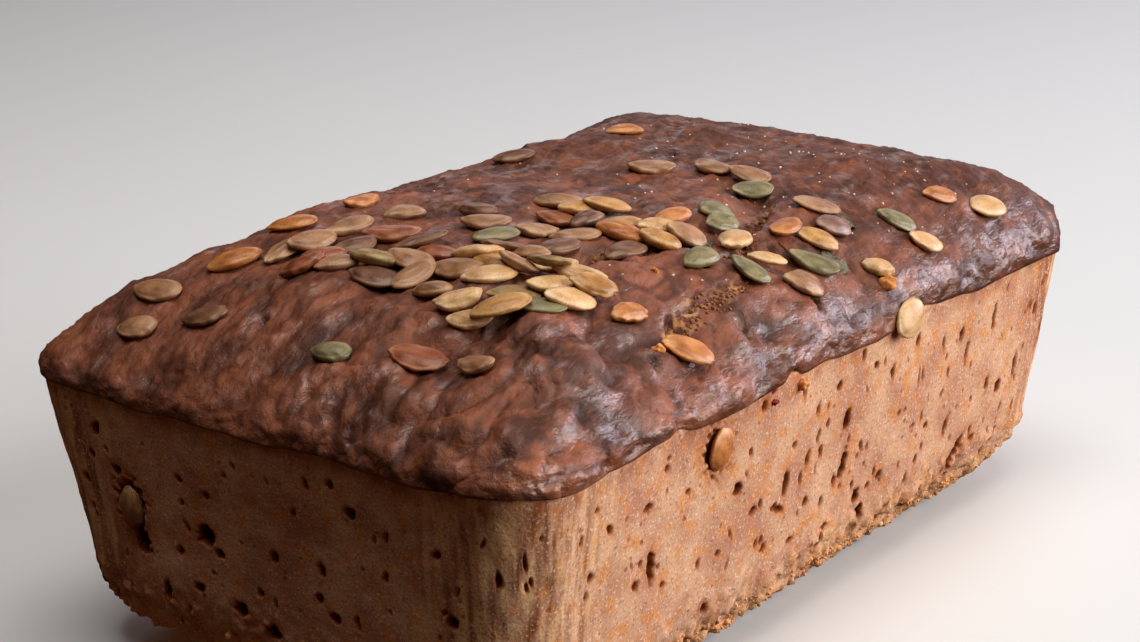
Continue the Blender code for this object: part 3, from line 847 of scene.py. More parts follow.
@dataclass(frozen=True)
class DryCrumb:
    """Loose bread crumb or dust: matt, with a fine uneven grain."""

    name: str
    main: str
    dark: str
    grain_span: float = 0.6 * MM
    grain_share: Ramp = Ramp(0.38, 0.64)
    grain_rise: float = 0.1 * MM
    bump_strength: float = 0.5
    roughness: float = 0.8

    def material(self) -> bpy.types.Material:
        """Build the crumb's material.

        Returns:
            The material.
        """
        material, shader, place = start_material(self.name)
        tree = material.node_tree
        pattern = {"Vector": place, "Scale": 1 / self.grain_span, "Detail": 3.0}
        grain = add_node(tree, "ShaderNodeTexNoise", pattern).outputs["Fac"]
        share = add_node(tree, "ShaderNodeMapRange", self.grain_share.inputs(grain)).outputs["Result"]
        bump = {"Strength": self.bump_strength, "Distance": self.grain_rise, "Height": grain}
        tree.links.new(lay_colours(tree, self.dark, ((share, self.main),)), shader.inputs["Base Color"])
        tree.links.new(add_node(tree, "ShaderNodeBump", bump).outputs["Normal"], shader.inputs["Normal"])
        shader.inputs["Roughness"].default_value = self.roughness
        return material


def finish_piece(
    name: str, mesh: bmesh.types.BMesh, material: bpy.types.Material
) -> bpy.types.Object:
    """Turn a mesh into a smooth piece of the loaf, riding on its body and standing for its node.

    Args:
        name: The piece's name.
        mesh: Its mesh, which is freed.
        material: Its finish.

    Returns:
        The new object.
    """
    data = bpy.data.meshes.new(name)
    mesh.to_mesh(data)
    mesh.free()
    data.shade_smooth()
    data.materials.append(material)
    piece = bpy.data.objects.new(name, data)
    bpy.context.scene.collection.objects.link(piece)
    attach(piece, BODY)
    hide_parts(NODE)
    LOG.info("%s: %d faces", name, len(data.polygons))
    return piece


@dataclass(frozen=True)
class ScatteredPores:
    """Sizes of the small pores that lie all over the walls, in mm and degrees."""

    count: int = 420
    small_share: float = 0.7
    small_widths: tuple[float, float] = (0.35, 0.7)
    large_widths: tuple[float, float] = (0.6, 1.5)
    stretch: tuple[float, float] = (1.0, 3.0)
    leans: tuple[float, float] = (-18, 18)
    depth_share: float = 1.1
    largest_in_view: float = 0.8 * MM
    foot: float = 8 * MM
    head: float = 4 * MM


@dataclass(frozen=True)
class Walls:
    """The pale sides and base: a sheet wrapped round the loaf, opened by pores, with a crumbly low band."""

    form: LoafForm
    scattered: ScatteredPores = ScatteredPores()
    cell: float = 0.95 * MM
    search_cell: float = 10 * MM
    mean_radius: float = 16.5 * MM
    tuck_steps: tuple[float, ...] = (1.2 * MM, 5 * MM)
    tuck_rise: float = 1.2 * MM
    base_rings: int = 7
    base_ring_share: float = 0.8
    refine_margin: float = 0.5 * MM
    side_depth_share: float = 0.5
    end_depth_share: float = 0.6
    ragged_share: float = 0.45
    ragged_span: float = 1.3 * MM
    bowl: tuple[float, float] = (0.45, 1.0)
    stain_reach: tuple[float, float] = (0.9, 1.8)
    grain_rise: float = 0.12 * MM
    grain_spans: tuple[float, float] = (2.2 * MM, 8 * MM)
    band_rise: float = 1.8 * MM
    band_edge: tuple[float, float] = (20 * MM, 34 * MM)
    lump_spans: tuple[float, float] = (3.4 * MM, 1.3 * MM)
    streak_rise: float = 0.22 * MM
    streak_reach: tuple[float, float] = (34 * MM, 12 * MM)
    streak_span: float = 2.0 * MM
    streak_length: float = 24 * MM
    seam_clearance: float = 4 * MM
    drip_reach: float = 7 * MM
    # Pore depth at which the painted shade in it is full
    deep_pore: float = 1.5 * MM
    stain_share: float = 0.18
    foot_fade: float = 6 * MM
    seed: int = 77

    @property
    def half_arc(self) -> float:
        """Half the length round an upright corner."""
        return self.mean_radius * math.pi / 4

    @property
    def half_long(self) -> float:
        """Half the length round the loaf that belongs to a long side."""
        return self.form.rim_length / 2 - self.mean_radius + self.half_arc

    @property
    def half_end(self) -> float:
        """Half the length round the loaf that belongs to an end."""
        return self.form.rim_width / 2 - self.mean_radius + self.half_arc

    @property
    def round_length(self) -> float:
        """Length once round the loaf."""
        return 4 * (self.half_long + self.half_end)

    @property
    def turn_length(self) -> float:
        """Length of the base edge's arc, which the sheet climbs first."""
        return self.form.base_edge_radius * math.pi / 2

    @property
    def sheet_height(self) -> float:
        """Height of the sheet when it is laid flat."""
        return self.turn_length + self.form.rim_height - self.form.base_edge_radius

    def square_share(self, local: float, half: float) -> float:
        """Carry a length along one side onto the unit square's side.

        Args:
            local: Length from the side's middle.
            half: Half the side's length.

        Returns:
            Place on the square's side, -1 to 1.
        """
        straight = half - self.half_arc
        size = abs(local)
        corner = self.form.corner_share
        if size <= straight:
            return math.copysign(size / straight * (1.0 - corner), local)
        return math.copysign(1.0 - corner + (size - straight) / self.half_arc * corner, local)

    def square_place(self, around: float) -> tuple[float, float]:
        """Find the point of the unit square's outline at a length round the loaf.

        Args:
            around: Length from the middle of the back.

        Returns:
            The point's two coordinates, -1 to 1.
        """
        long, end = self.half_long, self.half_end
        if around <= long:
            return self.square_share(-around, long), 1.0
        around -= long
        if around <= 2 * end:
            return -1.0, self.square_share(end - around, end)
        around -= 2 * end
        if around <= 2 * long:
            return self.square_share(around - long, long), -1.0
        around -= 2 * long
        if around <= 2 * end:
            return 1.0, self.square_share(around - end, end)
        return self.square_share(long - (around - 2 * end), long), 1.0

    def level(self, up: float) -> float:
        """Turn a length up the sheet into a height.

        Args:
            up: Length up the sheet.

        Returns:
            Height on the loaf.
        """
        if up < self.turn_length:
            return self.form.base_edge_radius * (1.0 - math.cos(up / self.form.base_edge_radius))
        return self.form.base_edge_radius + up - self.turn_length

    def up(self, level: float) -> float:
        """Turn a height into a length up the sheet.

        Args:
            level: Height on the loaf.

        Returns:
            Length up the sheet.
        """
        if level < self.form.base_edge_radius:
            return self.form.base_edge_radius * math.acos(1.0 - level / self.form.base_edge_radius)
        return self.turn_length + level - self.form.base_edge_radius

    def pores(self) -> list[Pore]:
        """List every pore of the sheet: those that the long side and the end show, then a seeded scatter.

        Returns:
            The pores, with places as lengths round the loaf and up the sheet.
        """
        found = []
        front_middle = self.half_long + 2 * self.half_end + self.half_long
        end_middle = self.half_long + self.half_end
        faces = (
            (LONG_SIDE_HOLES, front_middle, 1, self.side_depth_share),
            (END_HOLES, end_middle, -1, self.end_depth_share),
        )
        for holes, middle, way, depth_share in faces:
            for along, z, width, height, lean in holes:
                depth = min(width, height) * depth_share * MM
                place = (middle + way * along * MM, self.up(z * MM))
                found.append(Pore(*place, width / 2 * MM, height / 2 * MM, lean, depth))
        for spot in WALL_KERNELS:
            x, y, z = (part * MM for part in spot.point)
            if z < self.form.rim_height:
                around = front_middle + x if abs(spot.normal[1]) > 0.5 else end_middle - y
                half_width, half_height, depth = WALL_KERNEL_HOLLOW
                found.append(Pore(around, self.up(z), half_width, half_height, spot.lean - 90, depth))
        return found + self.scattered_pores()

    def scattered_pores(self) -> list[Pore]:
        """Draw the small pores, which are larger only where the loaf turns away.

        Returns:
            The pores.
        """
        draw = random.Random(self.seed)
        sizes = self.scattered
        in_view = (self.half_long + self.half_end * 0.1, self.half_long * 3 + 2 * self.half_end)
        found = []
        while len(found) < sizes.count:
            around = draw.uniform(self.seam_clearance, self.round_length - self.seam_clearance)
            up = draw.uniform(sizes.foot, self.sheet_height - sizes.head)
            widths = sizes.small_widths if draw.random() < sizes.small_share else sizes.large_widths
            width = draw.uniform(*widths) * MM
            height = width * draw.uniform(*sizes.stretch)
            lean = draw.uniform(*sizes.leans)
            if in_view[0] < around < in_view[1] and width > sizes.largest_in_view:
                continue
            found.append(Pore(around, up, width, height, lean, width * sizes.depth_share))
        return found

    def sheet(self, pores: list[Pore]) -> bmesh.types.BMesh:
        """Lay out the flat sheet, one cell wide where it is plain and finer round each pore.

        Args:
            pores: The sheet's pores.

        Returns:
            The sheet.
        """
        mesh = bmesh.new()
        columns = round(self.round_length / self.cell)
        rows = round(self.sheet_height / self.cell)
        bmesh.ops.create_grid(mesh, x_segments=columns, y_segments=rows, size=0.5)
        size = (self.round_length, self.sheet_height, 1.0)
        bmesh.ops.translate(mesh, verts=mesh.verts[:], vec=(0.5, 0.5, 0.0))
        bmesh.ops.scale(mesh, verts=mesh.verts[:], vec=size)
        near = {}
        for face in mesh.faces:
            middle = face.calc_center_median()
            key = (int(middle.x / self.search_cell), int(middle.y / self.search_cell))
            near.setdefault(key, []).append(face)
        edges = set()
        for pore in pores:
            half_width = pore.half_width + self.refine_margin
            half_height = pore.half_height + self.refine_margin
            grown = replace(pore, half_width=half_width, half_height=half_height)
            column, row = int(pore.x / self.search_cell), int(pore.y / self.search_cell)
            for key in [(column + dx, row + dy) for dx in (-1, 0, 1) for dy in (-1, 0, 1)]:
                for face in near.get(key, []):
                    middle = face.calc_center_median()
                    if grown.reach(middle.x, middle.y, 0.0) < 1.0:
                        edges.update(face.edges)
        bmesh.ops.subdivide_edges(mesh, edges=list(edges), cuts=2, use_grid_fill=True)
        return mesh

    def pore_depth(self, around: float, up: float, close: list[Pore]) -> tuple[float, float]:
        """Find how deep the deepest pore is at a point of the sheet, and how far crumb stained the point.

        Args:
            around: Length round the loaf.
            up: Length up the sheet.
            close: The pores that may reach the point.

        Returns:
            The depth, and the stain from 0 to 1.
        """
        deepest = stain = 0.0
        for pore in close:
            if abs(around - pore.x) > self.search_cell or abs(up - pore.y) > self.search_cell:
                continue
            ragged = self.ragged_share * noise.noise(Vector((around, up, 0.0)) / self.ragged_span)
            reach = pore.reach(around, up, ragged)
            stain = max(stain, 1.0 - smooth_share(reach, *self.stain_reach))
            if reach < 1.0:
                deepest = max(deepest, pore.depth * (1.0 - smooth_share(reach, *self.bowl)))
        return deepest, stain

    def streak(self, place: Vector) -> tuple[float, float]:
        """Find how far the tin's corners streaked a point.

        Args:
            place: The point on the loaf.

        Returns:
            The streaks' share from 0 to 1, and their rise from -1 to 1.
        """
        start, end = self.streak_reach
        half_length, half_width = self.form.rim_length / 2, self.form.rim_width / 2
        corner_x = smooth_share(abs(place.x), half_length - start, half_length - end)
        corner_y = smooth_share(abs(place.y), half_width - start, half_width - end)
        drawn_out = (place.x / self.streak_span, place.y / self.streak_span, place.z / self.streak_length)
        return corner_x * corner_y, corner_x * corner_y * noise.noise(Vector(drawn_out))

    def relief(self, place: Vector, up: float) -> float:
        """Work out the wall's own relief at a point: grain, streaks and the crumbly band.

        Args:
            place: The point on the loaf.
            up: Its length up the sheet.

        Returns:
            The rise outwards.
        """
        fine_span, broad_span = self.grain_spans
        rise = self.grain_rise * noise.noise(place / fine_span)
        rise += 2 * self.grain_rise * noise.noise(place / broad_span)
        low = 1.0 - smooth_share(up, *self.band_edge)
        lump_span, grit_span = self.lump_spans
        lumps = abs(noise.noise(place / lump_span)) * 2.0 + noise.noise(place / grit_span)
        rise += self.band_rise * low * (lumps * 0.6 - 0.3)
        rise += self.streak_rise * self.streak(place)[1]
        return rise

    def build(self) -> bpy.types.Object:
        """Wrap the sheet round the loaf, close it above and below, and open its pores.

        Returns:
            The walls.
        """
        pores = self.pores()
        mesh = self.sheet(pores)
        around_layer = mesh.verts.layers.float.new("around")
        up_layer = mesh.verts.layers.float.new("up")
        for name in ("pore", "streak", "under_rim"):
            mesh.verts.layers.float.new(name)
        for vert in mesh.verts:
            around, up = vert.co.x, vert.co.y
            vert[around_layer] = around
            vert[up_layer] = up
            u, v = self.square_place(around)
            vert.co = self.form.wall_place(u, v, self.level(up))
        seam = [vert for vert in mesh.verts if vert.is_boundary]
        bmesh.ops.remove_doubles(mesh, verts=seam, dist=0.01 * MM)
        self.close_ends(mesh)
        bmesh.ops.recalc_face_normals(mesh, faces=mesh.faces[:])
        mesh.normal_update()
        self.open_pores(mesh, pores)
        return finish_piece("baked_walls", mesh, BakedCrumb().material())

    def open_pores(self, mesh: bmesh.types.BMesh, pores: list[Pore]) -> None:
        """Press the pores and the relief into the walls, and mark them for the finish, which darkens the
        pores with painted shade by their depth.

        Args:
            mesh: The walls' mesh.
            pores: The sheet's pores.
        """
        layers = mesh.verts.layers.float
        around_layer, up_layer = layers["around"], layers["up"]
        pore_shade_and_stain_layer, streak_layer, rim_layer = layers["pore"], layers["streak"], layers["under_rim"]
        columns = {}
        for pore in pores:
            columns.setdefault(int(pore.x / self.search_cell), []).append(pore)
        moves = []
        for vert in mesh.verts:
            up = vert[up_layer]
            if up <= 0.0 or up > self.sheet_height:
                continue
            around = vert[around_layer]
            column = int(around / self.search_cell)
            close = [pore for step in (-1, 0, 1) for pore in columns.get(column + step, [])]
            depth, stain = self.pore_depth(around, up, close)
            # Pore depth for painted shade in the pores, and the stain round them
            vert[pore_shade_and_stain_layer] = min(max(depth / self.deep_pore, self.stain_share * stain), 1.0)
            vert[streak_layer] = self.streak(vert.co)[0]
            vert[rim_layer] = smooth_share(up, self.sheet_height - self.drip_reach, self.sheet_height)
            fade = smooth_share(up, 0.0, self.foot_fade)
            moves.append((vert, vert.normal * (self.relief(vert.co, up) * fade - depth)))
        for vert, move in moves:
            vert.co += move
            vert.co.z = max(vert.co.z, 0.0)

    def close_ends(self, mesh: bmesh.types.BMesh) -> None:
        """Tuck the sheet's top in under the crust, run its foot in over the base, and cap both.

        Args:
            mesh: The walls' mesh, open above and below.
        """
        up_layer = mesh.verts.layers.float["up"]
        boundary = [edge for edge in mesh.edges if edge.is_boundary]
        top = [edge for edge in boundary if edge.verts[0][up_layer] > self.sheet_height / 2]
        foot = [edge for edge in boundary if edge.verts[0][up_layer] < self.sheet_height / 2]
        half_length, half_width = self.form.rim_length / 2, self.form.rim_width / 2
        for tuck in self.tuck_steps:
            made = bmesh.ops.extrude_edge_only(mesh, edges=top)["geom"]
            top = [item for item in made if isinstance(item, bmesh.types.BMEdge)]
            for vert in {vert for edge in top for vert in edge.verts}:
                vert.co *= Vector((1 - tuck / half_length, 1 - tuck / half_width, 1.0))
                vert.co.z = self.form.rim_height + self.tuck_rise
                vert[up_layer] = 2 * self.sheet_height
        bmesh.ops.contextual_create(mesh, geom=top)
        for ring in range(self.base_rings):
            made = bmesh.ops.extrude_edge_only(mesh, edges=foot)["geom"]
            foot = [item for item in made if isinstance(item, bmesh.types.BMEdge)]
            share = 1.0 - self.base_ring_share / (self.base_rings - ring + 1)
            for vert in {vert for edge in foot for vert in edge.verts}:
                vert.co.x *= share
                vert.co.y *= share
                vert[up_layer] = -1.0
        bmesh.ops.contextual_create(mesh, geom=foot)


@dataclass(frozen=True)
class CrustRelief:
    """Sizes of the crust's fine relief: knobs, folds, wrinkles and ripples, and the creases between them."""

    base_strength: float = 0.45
    front_gain: float = 0.3
    near_gain: float = 0.65
    # Span and reach of the two warps that bend the pattern
    warps: tuple[tuple[float, float], ...] = ((13 * MM, 3 * MM), (4 * MM, 1 * MM))
    drawn_out: float = 0.55
    knob_span: float = 10 * MM
    knob_rise: float = 0.9 * MM
    crease_depth: float = 0.5 * MM
    crease_width: float = 0.12
    patch_span: float = 21 * MM
    patch_shift: Vector = Vector((5.1, 1.3, 0.2))
    wrinkle_span: float = 3.4 * MM
    wrinkle_rise: float = 0.65 * MM
    ripple_span: float = 1.6 * MM
    ripple_rise: float = 0.34 * MM
    fold_span: float = 7 * MM
    fold_rise: float = 1.3 * MM
    fold_valley: float = 0.09

    def at(self, form: LoafForm, place: Vector) -> tuple[float, float]:
        """Work out the fine relief over the solid's shape at a point of the crust.

        Args:
            form: The solid's shape.
            place: The point in space.

        Returns:
            The rise outwards, and how deep the point lies in the creases and fold valleys, from 0 to 1, which
            the finish lays on as painted shade.
        """
        near = form.nearness(place.x, place.y)
        front = smooth_share(-place.y, 0.0, form.rim_width / 2)
        strength = self.base_strength + self.front_gain * front + self.near_gain * near
        warped = Vector((place.x * self.drawn_out, place.y, place.z))
        for span, reach in self.warps:
            warped += noise.noise_vector(place / span) * reach
        first, second = noise.voronoi(warped / self.knob_span)[0][:2]
        crease = math.exp(-(((second - first) / self.crease_width) ** 2))
        crease *= 0.5 + 0.5 * noise.noise(place / self.patch_span + self.patch_shift)
        folds = abs(noise.noise(warped / self.fold_span))
        rise = self.knob_rise * strength * (0.3 - first * first)
        rise -= self.crease_depth * strength * crease
        rise += self.wrinkle_rise * (0.4 + 0.6 * strength) * noise.noise(warped / self.wrinkle_span)
        rise += self.ripple_rise * noise.noise(place / self.ripple_span)
        rise += self.fold_rise * (0.3 + 0.1 * front + 0.8 * near) * (2.0 * folds - 0.5)
        valley_shade = max(crease, 0.8 * (1.0 - smooth_share(folds, 0.0, self.fold_valley)))
        return rise, valley_shade * min(strength, 1.0)


@dataclass(frozen=True)
class Crust:
    """The glazed top: dome, rounded edge and the lip's underside, as one closed shell."""

    form: LoafForm
    relief: CrustRelief = CrustRelief()
    cells_along: int = 352
    cells_across: int = 206
    roll_steps: int = 11
    # Steps in under the lip: distance inwards and rise in mm
    under_steps: tuple[tuple[float, float], ...] = ((0.5, -0.3), (1.3, -0.2), (3.0, 0.9), (9.0, 1.0))
    lip: float = 0.5 * MM
    hang: float = 0.7 * MM
    hang_wander: float = 0.9 * MM
    hang_span: float = 12 * MM
    least_hang: float = -1.6 * MM
    # Notches in the front edge: place along, rise and half width in mm
    notches: tuple[tuple[float, float, float], ...] = ((-24, 3.0, 2.4), (27, 1.8, 6.0), (-62, 1.2, 3.0))
    notch_reach: float = 8 * MM
    blend_start: float = 0.93
    smooth_rounds: int = 8
    shoulder_width: float = 3.5 * MM
    far_corner: Vector = Vector((107 * MM, -62 * MM))
    far_drop: float = 2.0 * MM
    far_reach: float = 15 * MM
    edge_calm: float = 0.75
    # Where torn places are looked for: half length, front and back
    torn_box: tuple[float, float, float] = (70 * MM, -70 * MM, -15 * MM)
    torn_rough: float = 0.8 * MM

    def build(self) -> bpy.types.Object:
        """Lay the grid over the loaf, run its edge down the roll and close it underneath.

        Returns:
            The crust.
        """
        mesh = bmesh.new()
        bmesh.ops.create_grid(mesh, x_segments=self.cells_along, y_segments=self.cells_across, size=1)
        step_layer = mesh.verts.layers.float.new("step")
        edges = [edge for edge in mesh.edges if edge.is_boundary]
        for step in range(1, self.roll_steps + len(self.under_steps) + 1):
            made = bmesh.ops.extrude_edge_only(mesh, edges=edges)["geom"]
            edges = [item for item in made if isinstance(item, bmesh.types.BMEdge)]
            for vert in {vert for edge in edges for vert in edge.verts}:
                vert[step_layer] = step
        bmesh.ops.contextual_create(mesh, geom=edges)
        for vert in mesh.verts:
            vert.co = self.place(vert.co.x, vert.co.y, round(vert[step_layer]))
        bmesh.ops.recalc_face_normals(mesh, faces=mesh.faces[:])
        shoulder = [vert for vert in mesh.verts if self.on_shoulder(vert.co, vert[step_layer])]
        for _ in range(self.smooth_rounds):
            bmesh.ops.smooth_vert(
                mesh, verts=shoulder, factor=0.5, use_axis_x=True, use_axis_y=True, use_axis_z=True
            )
        mesh.normal_update()
        self.carve(mesh)
        return finish_piece("glazed_crust", mesh, GlazedCrust().material())

    def place(self, u: float, v: float, step: int) -> Vector:
        """Place a point of the unit square on the crust, or on a step down its edge.

        Args:
            u: Place along the loaf, -1 to 1.
            v: Place across the loaf, -1 to 1.
            step: Zero on the dome, then the number of the step down the roll and in underneath.

        Returns:
            The point in space.
        """
        form = self.form
        if step == 0:
            return self.dome_place(u, v)
        if step <= self.roll_steps:
            down = step / self.roll_steps
            place = form.wall_place(u, v, form.rim_height, roll=1.0 - down, tuck=-self.lip * down * down)
            place.z -= self.hang_at(place) * down * down
            return place
        tuck, rise = self.under_steps[step - self.roll_steps - 1]
        place = form.wall_place(u, v, form.rim_height, roll=0.0, tuck=tuck * MM - self.lip)
        place.z -= self.hang_at(place)
        if step == self.roll_steps + len(self.under_steps):
            place.z = form.rim_height
        place.z += rise * MM
        return place

    def dome_place(self, u: float, v: float) -> Vector:
        """Place a point of the unit square on the dome, led into the roll near the edge.

        Args:
            u: Place along the loaf, -1 to 1.
            v: Place across the loaf, -1 to 1.

        Returns:
            The point in space.
        """
        form = self.form
        radius = form.corner_radius(u, 1.0)
        place = form.onto_section(u, v, 0.0, radius)
        outwards = max(abs(u), abs(v))
        edge = smooth_share(outwards, self.blend_start, 1.0)
        height = form.crust_height(place.x, place.y) + form.wander(place) * edge
        height -= self.far_drop * math.exp(-(((place - self.far_corner).length / self.far_reach) ** 2))
        if edge > 0.0:
            rim = form.wall_place(u / outwards, v / outwards, form.rim_height, roll=1.0)
            place += (rim.xy - form.onto_section(u / outwards, v / outwards, 0.0, radius)) * edge
        return Vector((place.x, place.y, height))

    def hang_at(self, place: Vector) -> float:
        """Work out how far the crust's edge hangs below the rim's line, less where the edge is notched.

        Args:
            place: The point on the edge.

        Returns:
            The hang.
        """
        hang = self.hang + self.hang_wander * noise.noise(place / self.hang_span)
        if place.y < self.notch_reach - self.form.rim_width / 2:
            for x, rise, half_width in self.notches:
                hang -= rise * MM * math.exp(-(((place.x - x * MM) / (half_width * MM)) ** 2))
        return max(hang, self.least_hang)

    def on_shoulder(self, place: Vector, step: float) -> bool:
        """Tell whether a point lies where the dome turns down into the roll.

        Args:
            place: The point in space.
            step: Its step down the crust's edge.

        Returns:
            True on the shoulder.
        """
        if step > 0.5:
            return step < self.roll_steps - 1.5
        rim_x, rim_y = self.form.rim_length / 2, self.form.rim_width / 2
        return min(rim_x - abs(place.x), rim_y - abs(place.y)) < self.shoulder_width

    def carve(self, mesh: bmesh.types.BMesh) -> None:
        """Add the fine relief, the pits and the torn crumb to the shell, and mark them for the finish:
        painted shade in the creases and pits, and the torn crumb's colour.

        Args:
            mesh: The crust's mesh.
        """
        step_layer = mesh.verts.layers.float["step"]
        crease_shade_layer = mesh.verts.layers.float.new("crease")
        torn_layer = mesh.verts.layers.float.new("torn")
        moves = []
        for vert in mesh.verts:
            if vert[step_layer] > self.roll_steps + 1.5:
                continue
            place = vert.co.copy()
            rise, crease = self.relief.at(self.form, place)
            low_down = smooth_share(vert[step_layer], self.roll_steps - 4, self.roll_steps)
            rise *= 1.0 - self.edge_calm * low_down
            torn_depth, torn = self.torn_at(place)
            pit_depth, hollow = self.pit_at(place)
            # Painted shade in the creases, fold valleys and pits, for the finish
            vert[crease_shade_layer] = min(max(crease, hollow, 0.0), 1.0)
            vert[torn_layer] = min(max(torn, 0.0), 1.0)
            moves.append((vert, vert.normal * (rise - torn_depth - pit_depth)))
        for vert, move in moves:
            vert.co += move

    def torn_at(self, place: Vector) -> tuple[float, float]:
        """Find how far the crust is torn open at a point.

        Args:
            place: The point on the crust.

        Returns:
            The depth of the torn place, and its share.
        """
        half_length, front, back = self.torn_box
        depth = torn = 0.0
        if abs(place.x) < half_length and front < place.y < back:
            patchy = 0.8 + 0.8 * noise.noise(place / (6 * MM))
            rough = noise.noise(place / (1.9 * MM)) + 0.5 * noise.noise(place / (1.1 * MM))
            ragged = 1.0 + 0.5 * noise.noise(place / (2.5 * MM))
            for tear in TORN_CRUMB:
                far = tear.distance(place.x, place.y) * ragged
                share = math.exp(-((far / tear.half_width) ** 2)) * patchy
                depth += share * (tear.depth + self.torn_rough * rough)
                torn = max(torn, share)
        return depth, torn

    def pit_at(self, place: Vector) -> tuple[float, float]:
        """Find how deep the small pits are at a point; the finish darkens them with painted shade.

        Args:
            place: The point on the crust.

        Returns:
            The depth, and the deepest pit's share.
        """
        pit_depth = deepest = 0.0
        for x, y, radius, depth in CRUST_PITS:
            reach = math.hypot(place.x - x * MM, place.y - y * MM) / (radius * MM)
            if reach < 1.6:
                ragged = 1.0 + 0.4 * noise.noise(place / (1.5 * MM))
                hollow = 1.0 - smooth_share(reach * ragged, 0.3, 1.2)
                pit_depth += depth * MM * hollow
                deepest = max(deepest, hollow)
        return pit_depth, deepest


# Flecks in the rim and the long side: point and radius in mm
ORANGE_FLECKS = (
    ((19.5, -61.4, 66.0), 1.6), ((-20, -63.2, 55.5), 1.4), ((-56, -55, 73), 1.0), ((-38.7, -43.3, 81.0), 0.7),
)
RED_FLECKS = (((-31, -63.6, 56.5), 1.2), ((-19, -33, 81.5), 1.3), ((-30, -63.5, 54.8), 0.8))
# Thin husks on the crust: place on the plan, heading in degrees, length and width in mm
HUSKS = ((10, -54, 20, 9.5, 7.0), (-17, -36.5, 150, 9.0, 5.5), (24, -47, 95, 8.0, 5.0))
# Kernels that lie alone: place on the plan in mm, heading in degrees and tone
LONE_KERNELS = (
    (-99, 40, 102, Tone.TAN), (-90, 43, 95, Tone.TAN), (-94, 26, 105, Tone.BROWN),
    (-96, -9, 104, Tone.GREEN), (-91, -26, 100, Tone.RED), (-90, -39, 82, Tone.TAN),
    (-78, 33, 135, Tone.ORANGE), (-72, 25, 172, Tone.TAN), (-62, 32, 120, Tone.ORANGE),
    (-58, 20, 170, Tone.TAN), (-44, 17, 165, Tone.TAN), (-43, 30, 176, Tone.ORANGE),
    (-42, -3, 114, Tone.TAN), (-37, 3, 90, Tone.BROWN), (-20, -5, 126, Tone.TAN),
    (-29, -11, 98, Tone.RED), (13, 33, 130, Tone.BROWN), (44, 24, 150, Tone.ORANGE),
    (18, -2, 135, Tone.TAN), (28, -12, 74, Tone.TAN), (27, -22, 100, Tone.TAN),
    (22, -26, 142, Tone.GREEN), (21, -43, 150, Tone.TAN), (-55, -48, 170, Tone.ORANGE),
    (-50, -58, 145, Tone.ORANGE), (-7, -57, 152, Tone.TAN), (2, -54, 130, Tone.GREEN),
    (10, -50, 144, Tone.GOLD), (18, -49, 160, Tone.VIOLET), (20, -59, 148, Tone.CREAM),
    (38, -53, 138, Tone.GREEN), (40, -59, 156, Tone.CREAM), (59, -52, 161, Tone.ORANGE),
    (71, -58, 168, Tone.CREAM),
)
# A kernel's width as a share of its length
KERNEL_WIDTH_SHARE = 0.58


@dataclass(frozen=True)
class Heap:
    """A drift of kernels: middle and half sizes in mm, how many, their mean heading in degrees and tones."""

    middle: tuple[float, float]
    reach: tuple[float, float]
    count: int
    heading: float
    tones: tuple[Tone, ...]


HEAPS = (
    Heap(
        (-65, -28), (15, 16), 18, 130, (Tone.GREEN, Tone.OLIVE, Tone.CREAM, Tone.CREAM, Tone.GOLD, Tone.TAN)
    ),
    Heap(
        (-68, 6), (11, 17), 12, 125, (Tone.BROWN, Tone.RED, Tone.TAN, Tone.OLIVE, Tone.TAN, Tone.BROWN)
    ),
    Heap(
        (-36, -20), (19, 13), 11, 140, (Tone.BROWN, Tone.VIOLET, Tone.GREEN, Tone.ORANGE, Tone.TAN, Tone.GOLD)
    ),
    Heap(
        (-13, -40), (20, 12), 11, 145, (Tone.GREEN, Tone.GREEN, Tone.GOLD, Tone.CREAM, Tone.ORANGE, Tone.TAN)
    ),
)


@dataclass
class Kernel:
    """One kernel: where it lies on the plan, which way it points, how it rests and its tone."""

    x: float
    y: float
    heading: float
    length: float
    tone: Tone
    width_share: float = KERNEL_WIDTH_SHARE
    thickness: float = 2.5 * MM
    height: float = 0.0
    lean_along: float = 0.0
    lean_across: float = 0.0

    def along(self) -> Vector:
        """Direction of the kernel's point on the plan."""
        return Vector((math.cos(self.heading), math.sin(self.heading)))

    def top_at(self, x: float, y: float) -> float:
        """Find the kernel's upper face over a point of the plan.

        Args:
            x: Place along the loaf.
            y: Place across the loaf.

        Returns:
            Height of the face, or minus infinity outside the kernel.
        """
        offset = Vector((x - self.x, y - self.y))
        along = self.along()
        run = offset.dot(along)
        side = offset.dot(Vector((-along.y, along.x)))
        reach = (run / (self.length / 2)) ** 2 + (side / (self.length * self.width_share / 2)) ** 2
        if reach >= 1.0:
            return -math.inf
        crown = self.thickness / 2 * math.sqrt(1.0 - reach)
        return self.height + run * self.lean_along + side * self.lean_across + crown


def frame_matrix(point: Vector, along: Vector, normal: Vector) -> Matrix:
    """Turn and carry a lying kernel to a point.

    Args:
        point: Where its middle goes.
        along: Which way its point shows.
        normal: Which way its crown faces.

    Returns:
        The matrix.
    """
    normal = normal.normalized()
    side = normal.cross(along).normalized()
    turn = Matrix((side.cross(normal), side, normal)).transposed()
    return Matrix.Translation(point) @ turn.to_4x4()


